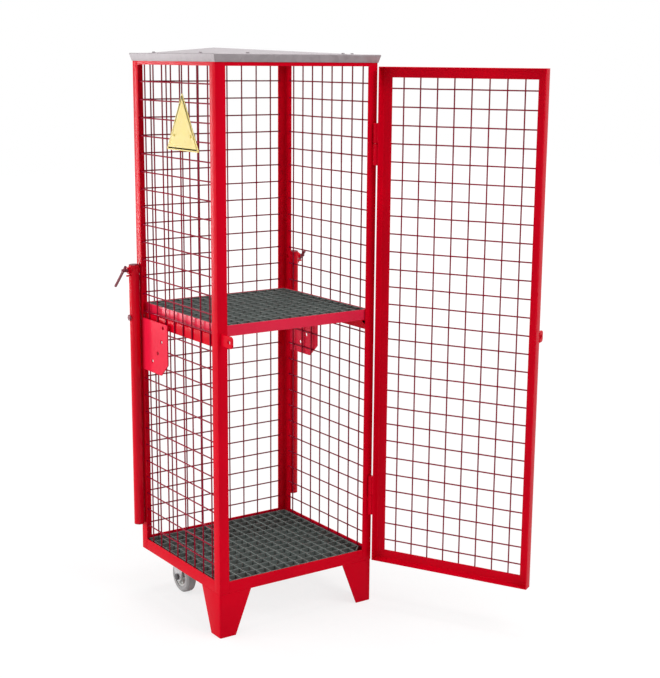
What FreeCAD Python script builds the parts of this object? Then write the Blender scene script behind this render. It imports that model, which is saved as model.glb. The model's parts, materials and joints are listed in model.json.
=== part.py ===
import FreeCAD, Part
import math
import os

# Gas cylinder cabinet, mm. +Z up, +X right, front at -Y.
# Origin: centre of the cabinet's footprint, on the floor.

V = FreeCAD.Vector

# Cabinet
WIDTH = 512.0
DEPTH = 460.0
BASE_Z = 127.0
FRAME_TOP = 1580.0
LEG = 30.0
LEG_T = 4.0
BASE_LEG = 34.0
GAP = 1.5

# Wire mesh: the envelope of two welded layers of round wire
WIRE = 4.0
MESH_T = 7.0
PITCH = 50.0
MESH_LAP = 4.0
REAR_SHIFT = -6.0

# Gratings
GRATE_H = 26.0
GRATE_BAR = 3.0
GRATE_PITCH = 33.3
GRATE_EDGE = 2.0
FLOOR_CORNER = 30.0

# Feet
FOOT_TOP = 100.0
FOOT_BOTTOM = 50.0

# Castors
CASTOR_SIDE_INSET = 88.0
CASTOR_REAR_INSET = 96.0
WHEEL_D = 100.0
WHEEL_W = 35.0
TYRE_INNER_D = 64.0
TYRE_W = 32.0
TYRE_ROUND = 7.0
HUB_WEB_INSET = 3.0
HUB_BOSS_D = 26.0
AXLE_D = 10.0
AXLE_FLATS = 17.0
AXLE_HEAD_H = 6.5
AXLE_NUT_H = 8.0
FORK_T = 3.0
FORK_GAP = 2.0
FORK_EYE_R = 14.0
FORK_TOP_HALF = 38.0
CASTOR_PLATE_X = 84.0
CASTOR_PLATE_Y = 100.0
CASTOR_HOLE_X = 64.0
CASTOR_HOLE_Y = 80.0
CASTOR_BOLT_D = 8.0
CASTOR_BOLT_FLATS = 13.0
CASTOR_BOLT_HEAD_H = 5.3
CASTOR_BAR_Y = 110.0

# Roof
ROOF_T = 1.5
EAVE = 8.0
SKIRT_IN = 2.0
SKIRT_H = 20.0
ROOF_RISE = 16.0
ROOF_APEX_X = -95.0
ROOF_APEX_Y = 55.0
ROOF_BORDER = 30.0
ROOF_SCREW_D = 5.0
ROOF_SCREW_FLATS = 8.0
ROOF_SCREW_HEAD_H = 4.0
ROOF_SCREW_X_INSET = 106.0
ROOF_SCREW_Y_INSET = 100.0

# Shelf
SHELF_Z = 847.0
SHELF_H = 30.0
SHELF_T = 3.0
SHELF_LEDGE = 25.0
SHELF_WALL_GAP = 4.0
SHELF_FRONT_GAP = 2.0
BEARER_H = 32.0
BEARER_W = 30.0
BEARER_T = 3.0
BEARER_END_GAP = 2.0

# Push handles
TUBE_D = 30.0
TUBE_T = 2.0
TUBE_BELOW = 624.0
TUBE_OVER_PIN = 15.0
TUBE_GAP = 2.0
PIVOT_Z = 835.0
PIVOT_D = 10.0
PIVOT_BUSH_D = 16.0
PIVOT_WASHER_T = 1.6
PIVOT_WASHER_D = 20.0
PIVOT_BOLT_OVER = 1.0
PIVOT_HEAD_AF = 16.0
PIVOT_HEAD_H = 4.5
PIVOT_NUT_H = 6.0
PLUG_FLANGE = 3.0
PLUG_DEPTH = 4.5

# Index pins and quadrant plates
PIN_D = 10.0
PIN_R = 138.0
PIN_GUIDE_D = 20.0
PIN_GUIDE_OUT = 5.0
PIN_OUT = 19.0
PIN_BACK = 0.5
TEE_D = 8.0
TEE_LONG = 76.0
TEE_SHORT = 20.0
TEE_DOWN = 44.0
TEE_INSET = 6.0
PEG_D = 5.0
PEG_LEN = 12.0
PEG_DROP = 15.0
PLATE_LENGTH = 148.0
PLATE_HEIGHT = 152.0
PLATE_CHAMFER_Y = 40.0
PLATE_CHAMFER_Z = 36.0
INDEX_ANGLES = (5.0, 23.0, 41.0, 59.0)

# Door
DOOR_LEG = 29.0
DOOR_T = 3.0
DOOR_BOTTOM_GAP = 5.0
DOOR_OPEN = 117.3
DOOR_WIRE_DROP = 8.3
DOOR_FIRST_WIRE = 61.0
DOOR_WIRE_INSET = 8.0

# Hinges
HINGE_R = 8.0
HINGE_CLEAR = 0.5
HINGE_HALF = 58.0
HINGE_PAD = 5.5
HINGE_PIN_D = 10.0
HINGE_PIN_HALF = 48.0
HINGE_WASHER_T = 2.0
HINGE_GAP = 0.4
HINGE_FROM_TOP = 210.0
HINGE_FROM_BOTTOM = 196.0

# Padlock lugs
LUG_T = 5.0
LUG_INSET = 9.0
LUG_GAP = 3.0
LUG_Z = 842.0
LUG_H = 32.0
LUG_OUT = 58.0
LUG_EYE_EDGE = 16.0
LUG_EYE_D = 12.0
LUG_CHAMFER = 8.0

# Sign plate
SIGN_Y = -49.0
SIGN_DROP = 254.0
SIGN_SIDE = 178.0
SIGN_T = 1.5
SIGN_CORNER = 3.0
SIGN_BAR_UP = 40.0
SIGN_BAR_H = 16.0
SIGN_BAR_T = 2.0
SIGN_BAR_HALF = 52.0
SIGN_SCREW_D = 5.0
SIGN_SCREW_HEAD_D = 9.0
SIGN_SCREW_HEAD_H = 2.5
SIGN_SCREW_HALF = 45.0

# Fits
RUN = 0.05
HOLE = 0.4

# Derived planes
HX = WIDTH / 2
HY = DEPTH / 2
WALL_X = HX - LEG_T
WALL_Y = HY - LEG_T
HINGE_X = HX - HINGE_R - HINGE_CLEAR
HINGE_Y = -HY - HINGE_R - HINGE_CLEAR
LUG_X = -HX + LUG_INSET
LUG_FRONT = -HY - LUG_OUT
LUG_EYE_Y = LUG_FRONT + LUG_EYE_EDGE
DOOR_EDGE_X = HINGE_X - HINGE_R - HINGE_CLEAR
DOOR_FREE_X = LUG_X + LUG_T + LUG_GAP
DOOR_BACK = -HY - GAP
DOOR_FACE = DOOR_BACK - DOOR_LEG
DOOR_BOTTOM = BASE_Z + DOOR_BOTTOM_GAP
DOOR_TOP = FRAME_TOP - LEG
DOOR_TOP_WIRE = DOOR_TOP - DOOR_WIRE_DROP
HINGE_TOP_Z = DOOR_TOP - HINGE_FROM_TOP
HINGE_LOW_Z = DOOR_BOTTOM + HINGE_FROM_BOTTOM
TUBE_Y = HY - LEG / 2
TUBE_X = HX + TUBE_GAP + TUBE_D / 2
TUBE_IN = HX + TUBE_GAP
TUBE_OUT = TUBE_IN + TUBE_D
PIN_Z = PIVOT_Z + PIN_R
TUBE_BOTTOM = PIVOT_Z - TUBE_BELOW
TUBE_TOP = PIN_Z + TUBE_OVER_PIN
PIN_TIP = TUBE_IN + PIN_BACK
PIN_END = TUBE_OUT + PIN_GUIDE_OUT + PIN_OUT
TEE_X = PIN_END - TEE_INSET
CASTOR_X = HX - CASTOR_SIDE_INSET
CASTOR_Y = HY - CASTOR_REAR_INSET
AXLE_Z = WHEEL_D / 2
FORK_IN = WHEEL_W / 2 + FORK_GAP
FORK_OUT = FORK_IN + FORK_T
BASE_TOP = BASE_Z + BASE_LEG
BASE_LEDGE = BASE_Z + LEG_T
WALL_TOP_WIRE = FRAME_TOP - LEG + MESH_LAP
SHELF_HALF_X = WALL_X - MESH_T - SHELF_WALL_GAP
SHELF_FRONT = -WALL_Y + SHELF_FRONT_GAP
SHELF_REAR = WALL_Y - MESH_T - SHELF_WALL_GAP
BEARER_REAR = HY - LEG - BEARER_END_GAP
PLATE_REAR = HY - LEG
PLATE_FRONT = PLATE_REAR - PLATE_LENGTH
PLATE_TOP = PIVOT_Z
PLATE_BOTTOM = PLATE_TOP - PLATE_HEIGHT
SIGN_Z = FRAME_TOP - SIGN_DROP
SIGN_BAR_Z = SIGN_Z + SIGN_BAR_UP


def wire_rows(top, edge, ledge):
    # Wires at the pitch from the top one down to the first that the lower rail hides,
    # which lies no lower than a lap over the rail's ledge.
    count = math.ceil((top - edge) / PITCH)
    lowest = ledge + MESH_LAP + WIRE / 2
    return [max(lowest, top - PITCH * i) for i in range(count, -1, -1)]


def wire_columns(clear, shift):
    # As many wires as the clear width takes, centred and then shifted.
    count = int(clear / PITCH)
    return [shift + PITCH * (i - (count - 1) / 2) for i in range(count)]


def save(name, shape):
    shape.exportStep("parts/" + name + ".step")


def block(xs, ys, zs):
    size = [max(pair) - min(pair) for pair in (xs, ys, zs)]
    return Part.makeBox(size[0], size[1], size[2], V(min(xs), min(ys), min(zs)))


def join(*shapes):
    return shapes[0].multiFuse(list(shapes[1:])).removeSplitter()


def rod_x(radius, x0, x1, y, z):
    return Part.makeCylinder(radius, abs(x1 - x0), V(min(x0, x1), y, z), V(1, 0, 0))


def rod_z(radius, z0, z1, x, y):
    return Part.makeCylinder(radius, abs(z1 - z0), V(x, y, min(z0, z1)), V(0, 0, 1))


def prism(points, direction):
    loop = points + [points[0]]
    return Part.Face(Part.makePolygon([V(*p) for p in loop])).extrude(V(*direction))


def hexagon(flats, x0, x1, y, z):
    radius = flats / math.sqrt(3)
    corners = [math.radians(60 * i) for i in range(6)]
    points = [(x0, y + radius * math.cos(a), z + radius * math.sin(a)) for a in corners]
    return prism(points, (x1 - x0, 0, 0))


def hexagon_z(flats, z0, z1, x, y):
    radius = flats / math.sqrt(3)
    corners = [math.radians(60 * i) for i in range(6)]
    points = [(x + radius * math.cos(a), y + radius * math.sin(a), z0) for a in corners]
    return prism(points, (0, 0, z1 - z0))


def mirrored(shape):
    return shape.mirror(V(0, 0, 0), V(1, 0, 0))


def both_sides(name, left):
    save(name + "_left", left)
    save(name + "_right", mirrored(left))


def grid(place, columns, rows, low, high, bar, thickness):
    # Bars at the given columns and rows; the rows run on from low to high as stubs.
    half = bar / 2
    first = columns[0] - half
    last = columns[-1] + half
    outline = []
    for row in rows:
        outline += [(first, row - half), (low, row - half), (low, row + half), (first, row + half)]
    for row in reversed(rows):
        outline += [(last, row + half), (high, row + half), (high, row - half), (last, row - half)]
    loops = [outline]
    for c0, c1 in zip(columns, columns[1:]):
        for r0, r1 in zip(rows, rows[1:]):
            a, b, c, d = c0 + half, c1 - half, r0 + half, r1 - half
            loops.append([(a, c), (a, d), (b, d), (b, c)])
    faces = []
    for loop in loops:
        points = [place(u, v) for u, v in loop]
        faces.append(Part.makePolygon(points + [points[0]]))
    return Part.Face(faces, "Part::FaceMakerBullseye").extrude(thickness)


def grate(x0, x1, y0, y1, z):
    # Rim and crossing flat bars, all of one height.
    loops = [[(x0, y0), (x1, y0), (x1, y1), (x0, y1)]]
    count_x = round((x1 - x0 - GRATE_BAR) / GRATE_PITCH)
    count_y = round((y1 - y0 - GRATE_BAR) / GRATE_PITCH)
    step_x = (x1 - x0 - GRATE_BAR) / count_x
    step_y = (y1 - y0 - GRATE_BAR) / count_y
    for i in range(count_x):
        for j in range(count_y):
            a = x0 + step_x * i + GRATE_BAR
            b = x0 + step_x * (i + 1)
            c = y0 + step_y * j + GRATE_BAR
            d = y0 + step_y * (j + 1)
            loops.append([(a, c), (a, d), (b, d), (b, c)])
    wires = []
    for loop in loops:
        points = [V(u, v, z) for u, v in loop]
        wires.append(Part.makePolygon(points + [points[0]]))
    return Part.Face(wires, "Part::FaceMakerBullseye").extrude(V(0, 0, GRATE_H))


# Posts: the front ones keep their two legs as separate solids that meet in the corner
def post_legs(sx, sy):
    along_x = block((sx * HX, sx * (HX - LEG)), (sy * HY, sy * WALL_Y), (BASE_Z, FRAME_TOP))
    along_y = block((sx * HX, sx * WALL_X), (sy * WALL_Y, sy * (HY - LEG)), (BASE_Z, FRAME_TOP))
    return [along_x, along_y]


stow_hole = rod_x(PIN_D / 2 + HOLE, -HX - 1, -WALL_X + 1, TUBE_Y, PIN_Z)
pivot_hole = rod_x(PIVOT_D / 2 + HOLE, -HX - 1, -WALL_X + 1, TUBE_Y, PIVOT_Z)
both_sides("post_front", Part.makeCompound(post_legs(-1, -1)))
both_sides("post_rear", join(*post_legs(-1, 1)).cut(stow_hole).cut(pivot_hole))

# Base rails: flat leg at the bottom, between the posts
for name, sy in (("front", -1), ("rear", 1)):
    upright = block((-HX + LEG, HX - LEG), (sy * HY, sy * WALL_Y), (BASE_Z, BASE_TOP))
    flat = block((-HX + LEG, HX - LEG), (sy * HY, sy * (HY - BASE_LEG)), (BASE_Z, BASE_LEDGE))
    save("base_rail_" + name, join(upright, flat))
upright = block((-HX, -WALL_X), (-HY + LEG, HY - LEG), (BASE_Z, BASE_TOP))
flat = block((-HX, -HX + BASE_LEG), (-HY + BASE_LEG, HY - BASE_LEG), (BASE_Z, BASE_LEDGE))
both_sides("base_rail", join(upright, flat))

# Castor bar: flat bar between the side rails' flat legs
castor_bar = block(
    (-HX + BASE_LEG, HX - BASE_LEG),
    (CASTOR_Y - CASTOR_BAR_Y / 2, CASTOR_Y + CASTOR_BAR_Y / 2),
    (BASE_Z, BASE_LEDGE),
)
bolt_spots = []
for sx in (-1, 1):
    for dx in (-1, 1):
        for dy in (-1, 1):
            x = sx * CASTOR_X + dx * CASTOR_HOLE_X / 2
            bolt_spots.append((x, CASTOR_Y + dy * CASTOR_HOLE_Y / 2))
bolt_holes = [rod_z(CASTOR_BOLT_D / 2, 0, BASE_LEDGE + 1, x, y) for x, y in bolt_spots]
save("castor_bar", castor_bar.cut(Part.makeCompound(bolt_holes)))

# Top rails: flat leg at the top, between the posts
rail_low = FRAME_TOP - LEG
rail_flat = FRAME_TOP - LEG_T
screw_hole_r = ROOF_SCREW_D / 2
roof_spots = []
for sx in (-1, 1):
    for sy in (-1, 1):
        roof_spots.append((sx * (HX - ROOF_SCREW_X_INSET), sy * (HY - LEG / 2)))
        roof_spots.append((sx * (HX - LEG / 2), sy * (HY - ROOF_SCREW_Y_INSET)))
roof_holes = Part.makeCompound(
    [rod_z(screw_hole_r, rail_flat - 1, FRAME_TOP + ROOF_T + 1, x, y) for x, y in roof_spots]
)
for name, sy in (("front", -1), ("rear", 1)):
    upright = block((-HX + LEG, HX - LEG), (sy * HY, sy * WALL_Y), (rail_low, FRAME_TOP))
    flat = block((-HX + LEG, HX - LEG), (sy * HY, sy * (HY - LEG)), (rail_flat, FRAME_TOP))
    save("top_rail_" + name, join(upright, flat).cut(roof_holes))
upright = block((-HX, -WALL_X), (-HY + LEG, HY - LEG), (rail_low, FRAME_TOP))
flat = block((-HX, -HX + LEG), (-HY + LEG, HY - LEG), (rail_flat, FRAME_TOP))
both_sides("top_rail", join(upright, flat).cut(roof_holes))

# Wire mesh walls, on the inner faces of posts and rails
side_wires = wire_columns(DEPTH - 2 * LEG, 0)
side_end = HY - LEG + MESH_LAP
wall_rows = wire_rows(WALL_TOP_WIRE, BASE_TOP, BASE_LEDGE)
side_mesh = grid(
    lambda u, v: V(-WALL_X, u, v), side_wires, wall_rows, -side_end, side_end, WIRE, V(MESH_T, 0, 0)
)
both_sides("mesh", side_mesh)
rear_wires = wire_columns(WIDTH - 2 * LEG, REAR_SHIFT)
rear_end = HX - LEG + MESH_LAP
rear_mesh = grid(
    lambda u, v: V(u, WALL_Y, v), rear_wires, wall_rows, -rear_end, rear_end, WIRE, V(0, -MESH_T, 0)
)
save("mesh_rear", rear_mesh)

# Floor grating, lying on the base rails' flat legs
floor_x = WALL_X - MESH_T - GRATE_EDGE
floor_y = WALL_Y - MESH_T - GRATE_EDGE
floor = grate(-floor_x, floor_x, -floor_y, floor_y, BASE_LEDGE)


def floor_corner(start, end):
    # The strip between two diagonals across the front left corner.
    points = [
        (-floor_x, -floor_y + start, BASE_LEDGE),
        (-floor_x + start, -floor_y, BASE_LEDGE),
        (-floor_x + end, -floor_y, BASE_LEDGE),
        (-floor_x, -floor_y + end, BASE_LEDGE),
    ]
    return prism(points, (0, 0, GRATE_H))


corner_bar = floor_corner(FLOOR_CORNER, FLOOR_CORNER + GRATE_BAR * math.sqrt(2))
corner_cut = prism(
    [
        (-floor_x, -floor_y, BASE_LEDGE),
        (-floor_x + FLOOR_CORNER, -floor_y, BASE_LEDGE),
        (-floor_x, -floor_y + FLOOR_CORNER, BASE_LEDGE),
    ],
    (0, 0, GRATE_H),
)
floor = floor.cut(Part.makeCompound([corner_cut, mirrored(corner_cut)]))
save("floor_grating", join(floor, corner_bar, mirrored(corner_bar)))

# Front feet: folded plate, tapered on both faces
foot_front = prism(
    [(-HX, -HY, 0), (-HX + FOOT_BOTTOM, -HY, 0), (-HX + FOOT_TOP, -HY, BASE_Z), (-HX, -HY, BASE_Z)],
    (0, LEG_T, 0),
)
foot_side = prism(
    [(-HX, -HY, 0), (-HX, -HY + FOOT_BOTTOM, 0), (-HX, -HY + FOOT_TOP, BASE_Z), (-HX, -HY, BASE_Z)],
    (LEG_T, 0, 0),
)
both_sides("foot", join(foot_front, foot_side))

# Castors
plate_low = BASE_Z - FORK_T
fork_plate = block(
    (-CASTOR_X - CASTOR_PLATE_X / 2, -CASTOR_X + CASTOR_PLATE_X / 2),
    (CASTOR_Y - CASTOR_PLATE_Y / 2, CASTOR_Y + CASTOR_PLATE_Y / 2),
    (plate_low, BASE_Z),
)


def fork_leg(x):
    a = V(x, CASTOR_Y - FORK_EYE_R, AXLE_Z)
    b = V(x, CASTOR_Y - FORK_TOP_HALF, plate_low)
    c = V(x, CASTOR_Y + FORK_TOP_HALF, plate_low)
    d = V(x, CASTOR_Y + FORK_EYE_R, AXLE_Z)
    sides = [Part.LineSegment(a, b), Part.LineSegment(b, c), Part.LineSegment(c, d)]
    eye = Part.Arc(d, V(x, CASTOR_Y, AXLE_Z - FORK_EYE_R), a)
    edges = [line.toShape() for line in sides] + [eye.toShape()]
    return Part.Face(Part.Wire(edges)).extrude(V(FORK_T, 0, 0))


axle_hole = rod_x(AXLE_D / 2, -HX, 0, CASTOR_Y, AXLE_Z)
fork = join(fork_plate, fork_leg(-CASTOR_X - FORK_OUT), fork_leg(-CASTOR_X + FORK_IN))
both_sides("castor_fork", fork.cut(axle_hole).cut(Part.makeCompound(bolt_holes)))

outer = -CASTOR_X - FORK_OUT
inner = -CASTOR_X + FORK_OUT
axle = join(
    rod_x(AXLE_D / 2, outer - AXLE_NUT_H, inner, CASTOR_Y, AXLE_Z),
    hexagon(AXLE_FLATS, inner, inner + AXLE_HEAD_H, CASTOR_Y, AXLE_Z),
)
axle_nut = hexagon(AXLE_FLATS, outer - AXLE_NUT_H, outer, CASTOR_Y, AXLE_Z)
axle_nut = axle_nut.cut(rod_x(AXLE_D / 2, outer - AXLE_NUT_H - 1, outer + 1, CASTOR_Y, AXLE_Z))
save("castor_axles", Part.makeCompound([axle, axle_nut, mirrored(axle), mirrored(axle_nut)]))

castor_bolts = []
for x, y in bolt_spots:
    shank = rod_z(CASTOR_BOLT_D / 2, plate_low, BASE_LEDGE, x, y)
    head = hexagon_z(CASTOR_BOLT_FLATS, plate_low - CASTOR_BOLT_HEAD_H, plate_low, x, y)
    castor_bolts.append(join(shank, head))
save("castor_bolts", Part.makeCompound(castor_bolts))


def wheel_disc(radius, width):
    return rod_x(radius, -CASTOR_X - width / 2, -CASTOR_X + width / 2, CASTOR_Y, AXLE_Z)


hub = join(wheel_disc(TYRE_INNER_D / 2, TYRE_W - 2 * HUB_WEB_INSET), wheel_disc(HUB_BOSS_D / 2, WHEEL_W))
hub = hub.cut(wheel_disc(AXLE_D / 2 + RUN, WHEEL_W + 2))
tyre = wheel_disc(WHEEL_D / 2, TYRE_W)
rims = [e for e in tyre.Edges if e.Curve.TypeId == "Part::GeomCircle"]
tyre = tyre.makeFillet(TYRE_ROUND, rims).cut(wheel_disc(TYRE_INNER_D / 2, TYRE_W + 2))
both_sides("wheel_hub", hub)
both_sides("wheel_tyre", tyre)

# Roof: flat border on the top frame, low hips to one apex inside it, skirt folded inwards
def ring(dx, z):
    x = HX + dx
    y = HY + dx
    return [V(-x, -y, z), V(x, -y, z), V(x, y, z), V(-x, y, z)]


def shell_solid(levels, apex):
    faces = [Part.Face(Part.makePolygon(levels[0] + [levels[0][0]]))]
    for low, high in zip(levels, levels[1:]):
        for i in range(4):
            j = (i + 1) % 4
            faces.append(Part.Face(Part.makePolygon([low[i], low[j], high[j], high[i], low[i]])))
    top = levels[-1]
    for i in range(4):
        j = (i + 1) % 4
        faces.append(Part.Face(Part.makePolygon([top[i], top[j], apex, top[i]])))
    return Part.Solid(Part.Shell(faces))


skirt_z = FRAME_TOP - SKIRT_H
roof_top = FRAME_TOP + ROOF_T
outer_levels = [ring(SKIRT_IN, skirt_z), ring(EAVE, roof_top), ring(-ROOF_BORDER, roof_top)]
inner_levels = [
    ring(SKIRT_IN - ROOF_T, skirt_z - 1),
    ring(SKIRT_IN - ROOF_T, skirt_z),
    ring(EAVE - ROOF_T, FRAME_TOP),
    ring(-ROOF_BORDER, FRAME_TOP),
]
roof_outer = shell_solid(outer_levels, V(ROOF_APEX_X, ROOF_APEX_Y, roof_top + ROOF_RISE))
roof_inner = shell_solid(inner_levels, V(ROOF_APEX_X, ROOF_APEX_Y, FRAME_TOP + ROOF_RISE))
save("roof_sheet", roof_outer.cut(roof_inner).cut(roof_holes))

roof_screws = []
for x, y in roof_spots:
    shank = rod_z(ROOF_SCREW_D / 2, rail_flat, roof_top, x, y)
    head = hexagon_z(ROOF_SCREW_FLATS, roof_top, roof_top + ROOF_SCREW_HEAD_H, x, y)
    roof_screws.append(join(shank, head))
save("roof_screws", Part.makeCompound(roof_screws))

# Shelf bearers on the inside of the side walls
bearer_x = WALL_X - MESH_T
upright = block(
    (-bearer_x, -bearer_x + BEARER_T), (-WALL_Y, BEARER_REAR), (SHELF_Z - BEARER_H, SHELF_Z)
)
flat = block(
    (-bearer_x, -bearer_x + BEARER_W), (-WALL_Y, BEARER_REAR), (SHELF_Z - BEARER_T, SHELF_Z)
)
both_sides("shelf_bearer", join(upright, flat))

# Shelf: angle frame with a grating, lying loose on the bearers
shelf_box = block((-SHELF_HALF_X, SHELF_HALF_X), (SHELF_FRONT, SHELF_REAR), (SHELF_Z, SHELF_Z + SHELF_H))
seat_x = SHELF_HALF_X - SHELF_T
seat_front = SHELF_FRONT + SHELF_T
seat_rear = SHELF_REAR - SHELF_T
seat_z = SHELF_Z + SHELF_T
well = block((-seat_x, seat_x), (seat_front, seat_rear), (seat_z, SHELF_Z + SHELF_H + 1))
rim = SHELF_LEDGE - SHELF_T
hole = block((-seat_x + rim, seat_x - rim), (seat_front + rim, seat_rear - rim), (SHELF_Z - 1, seat_z + 1))
save("shelf_frame", shelf_box.cut(well).cut(hole))
grate_x = seat_x - GRATE_EDGE
save("shelf_grating", grate(-grate_x, grate_x, seat_front + GRATE_EDGE, seat_rear - GRATE_EDGE, seat_z))

# Quadrant plates, butted to the front edge of the rear posts' side legs
plate = prism(
    [
        (-HX, PLATE_REAR, PLATE_TOP),
        (-HX, PLATE_FRONT, PLATE_TOP),
        (-HX, PLATE_FRONT, PLATE_BOTTOM + PLATE_CHAMFER_Z),
        (-HX, PLATE_FRONT + PLATE_CHAMFER_Y, PLATE_BOTTOM),
        (-HX, PLATE_REAR, PLATE_BOTTOM),
    ],
    (LEG_T, 0, 0),
)
index_holes = []
for angle in INDEX_ANGLES:
    y = TUBE_Y - PIN_R * math.cos(math.radians(angle))
    z = PIVOT_Z - PIN_R * math.sin(math.radians(angle))
    index_holes.append(rod_x(PIN_D / 2 + HOLE, -HX - 1, -WALL_X + 1, y, z))
both_sides("quadrant_plate", plate.cut(Part.makeCompound(index_holes)))

# Handle pivots
bolt_end = -WALL_X + PIVOT_NUT_H + PIVOT_BOLT_OVER
head_seat = -TUBE_OUT - HOLE
pivot_bolt = join(
    rod_x(PIVOT_D / 2, head_seat, bolt_end, TUBE_Y, PIVOT_Z),
    hexagon(PIVOT_HEAD_AF, head_seat - PIVOT_HEAD_H, head_seat, TUBE_Y, PIVOT_Z),
)
pivot_core = rod_x(PIVOT_D / 2, head_seat, bolt_end, TUBE_Y, PIVOT_Z)
pivot_nut = hexagon(PIVOT_HEAD_AF, -WALL_X, -WALL_X + PIVOT_NUT_H, TUBE_Y, PIVOT_Z).cut(pivot_core)
pivot_washer = rod_x(PIVOT_WASHER_D / 2, -HX - PIVOT_WASHER_T, -HX, TUBE_Y, PIVOT_Z).cut(pivot_core)
save("pivot_bolts", Part.makeCompound([pivot_bolt, mirrored(pivot_bolt)]))
nuts_left = [pivot_nut, pivot_washer]
save("pivot_nuts", Part.makeCompound(nuts_left + [mirrored(shape) for shape in nuts_left]))

# Handle tubes with a park peg, bushes and end plugs
pivot_bush_body = rod_x(PIVOT_BUSH_D / 2, -TUBE_OUT, -TUBE_IN, TUBE_Y, PIVOT_Z)
guide_body = rod_x(PIN_GUIDE_D / 2, -TUBE_OUT - PIN_GUIDE_OUT, -TUBE_IN, TUBE_Y, PIN_Z)
tube_solid = rod_z(TUBE_D / 2, TUBE_BOTTOM, TUBE_TOP, -TUBE_X, TUBE_Y)
tube_bore = rod_z(TUBE_D / 2 - TUBE_T, TUBE_BOTTOM - 1, TUBE_TOP + 1, -TUBE_X, TUBE_Y)
peg = rod_x(PEG_D / 2, -TUBE_OUT - PEG_LEN, -TUBE_X, TUBE_Y - PEG_D, PIN_Z - PEG_DROP)
tube = join(tube_solid, peg).cut(tube_bore).cut(pivot_bush_body).cut(guide_body)
both_sides("handle_tube", tube)

pivot_bush = pivot_bush_body.cut(rod_x(PIVOT_D / 2 + RUN, -TUBE_OUT - 9, -TUBE_IN + 9, TUBE_Y, PIVOT_Z))
guide = guide_body.cut(rod_x(PIN_D / 2 + RUN, -TUBE_OUT - 9, -TUBE_IN + 9, TUBE_Y, PIN_Z))
both_sides("handle_bushes", Part.makeCompound([pivot_bush, guide]))

plug_r = TUBE_D / 2 - TUBE_T
plug_low = join(
    rod_z(TUBE_D / 2, TUBE_BOTTOM - PLUG_FLANGE, TUBE_BOTTOM, -TUBE_X, TUBE_Y),
    rod_z(plug_r, TUBE_BOTTOM, TUBE_BOTTOM + PLUG_DEPTH, -TUBE_X, TUBE_Y),
)
plug_high = join(
    rod_z(TUBE_D / 2, TUBE_TOP, TUBE_TOP + PLUG_FLANGE, -TUBE_X, TUBE_Y),
    rod_z(plug_r, TUBE_TOP - PLUG_DEPTH, TUBE_TOP, -TUBE_X, TUBE_Y),
)
both_sides("handle_plugs", Part.makeCompound([plug_low, plug_high]))

# Index pins, drawn out at rest, each with a tee bar through its outer end
slope = math.radians(TEE_DOWN)
bar_dir = V(0, math.cos(slope), -math.sin(slope))
bar_start = V(-TEE_X, TUBE_Y, PIN_Z) - bar_dir * TEE_SHORT
tee = Part.makeCylinder(TEE_D / 2, TEE_LONG + TEE_SHORT, bar_start, bar_dir)
both_sides("index_pin", rod_x(PIN_D / 2, -PIN_END, -PIN_TIP, TUBE_Y, PIN_Z).cut(tee))
both_sides("tee_bar", tee)

# Padlock lug on the front left post
lug_low = LUG_Z - LUG_H / 2
lug_high = LUG_Z + LUG_H / 2
eye = rod_x(LUG_EYE_D / 2, LUG_X - 1, LUG_X + 20, LUG_EYE_Y, LUG_Z)


def lug(x, rear, front):
    return prism(
        [
            (x, rear, lug_low),
            (x, front + LUG_CHAMFER, lug_low),
            (x, front, lug_low + LUG_CHAMFER),
            (x, front, lug_high - LUG_CHAMFER),
            (x, front + LUG_CHAMFER, lug_high),
            (x, rear, lug_high),
        ],
        (LUG_T, 0, 0),
    ).cut(eye)


save("post_lug", lug(LUG_X, -HY, LUG_FRONT))

# Hinges: lower barrels and pins on the post, upper barrels on the door
post_barrels = []
pins = []
washers = []
door_barrels = []
for z in (HINGE_LOW_Z, HINGE_TOP_Z):
    pin = rod_z(HINGE_PIN_D / 2, z - HINGE_PIN_HALF, z + HINGE_PIN_HALF, HINGE_X, HINGE_Y)
    run_bore = rod_z(HINGE_PIN_D / 2 + RUN, z, z + HINGE_PIN_HALF + 1, HINGE_X, HINGE_Y)
    barrel = rod_z(HINGE_R, z - HINGE_HALF, z, HINGE_X, HINGE_Y)
    pad = block((HINGE_X - HINGE_PAD, HINGE_X + HINGE_PAD), (HINGE_Y, -HY), (z - HINGE_HALF, z))
    post_barrels.append(join(barrel, pad).cut(pin))
    pins.append(pin)
    washer = rod_z(HINGE_R, z, z + HINGE_WASHER_T, HINGE_X, HINGE_Y)
    washers.append(washer.cut(pin))
    start = z + HINGE_WASHER_T + HINGE_GAP
    barrel = rod_z(HINGE_R, start, z + HINGE_HALF, HINGE_X, HINGE_Y)
    pad = block((DOOR_EDGE_X, HINGE_X), (HINGE_Y - HINGE_PAD, HINGE_Y + HINGE_PAD), (start, z + HINGE_HALF))
    door_barrels.append(join(barrel, pad).cut(run_bore))
save("hinge_post_barrels", Part.makeCompound(post_barrels))
save("hinge_pins", Part.makeCompound(pins))
save("hinge_washers", Part.makeCompound(washers))

# Door, drawn shut and then swung open about the hinge pins
free_in = DOOR_FREE_X + DOOR_T
edge_in = DOOR_EDGE_X - DOOR_T
face_in = DOOR_FACE + DOOR_T
full_z = (DOOR_BOTTOM, DOOR_TOP)


def open_door(name, shape):
    shape.rotate(V(HINGE_X, HINGE_Y, 0), V(0, 0, 1), DOOR_OPEN)
    save(name, shape)


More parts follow.
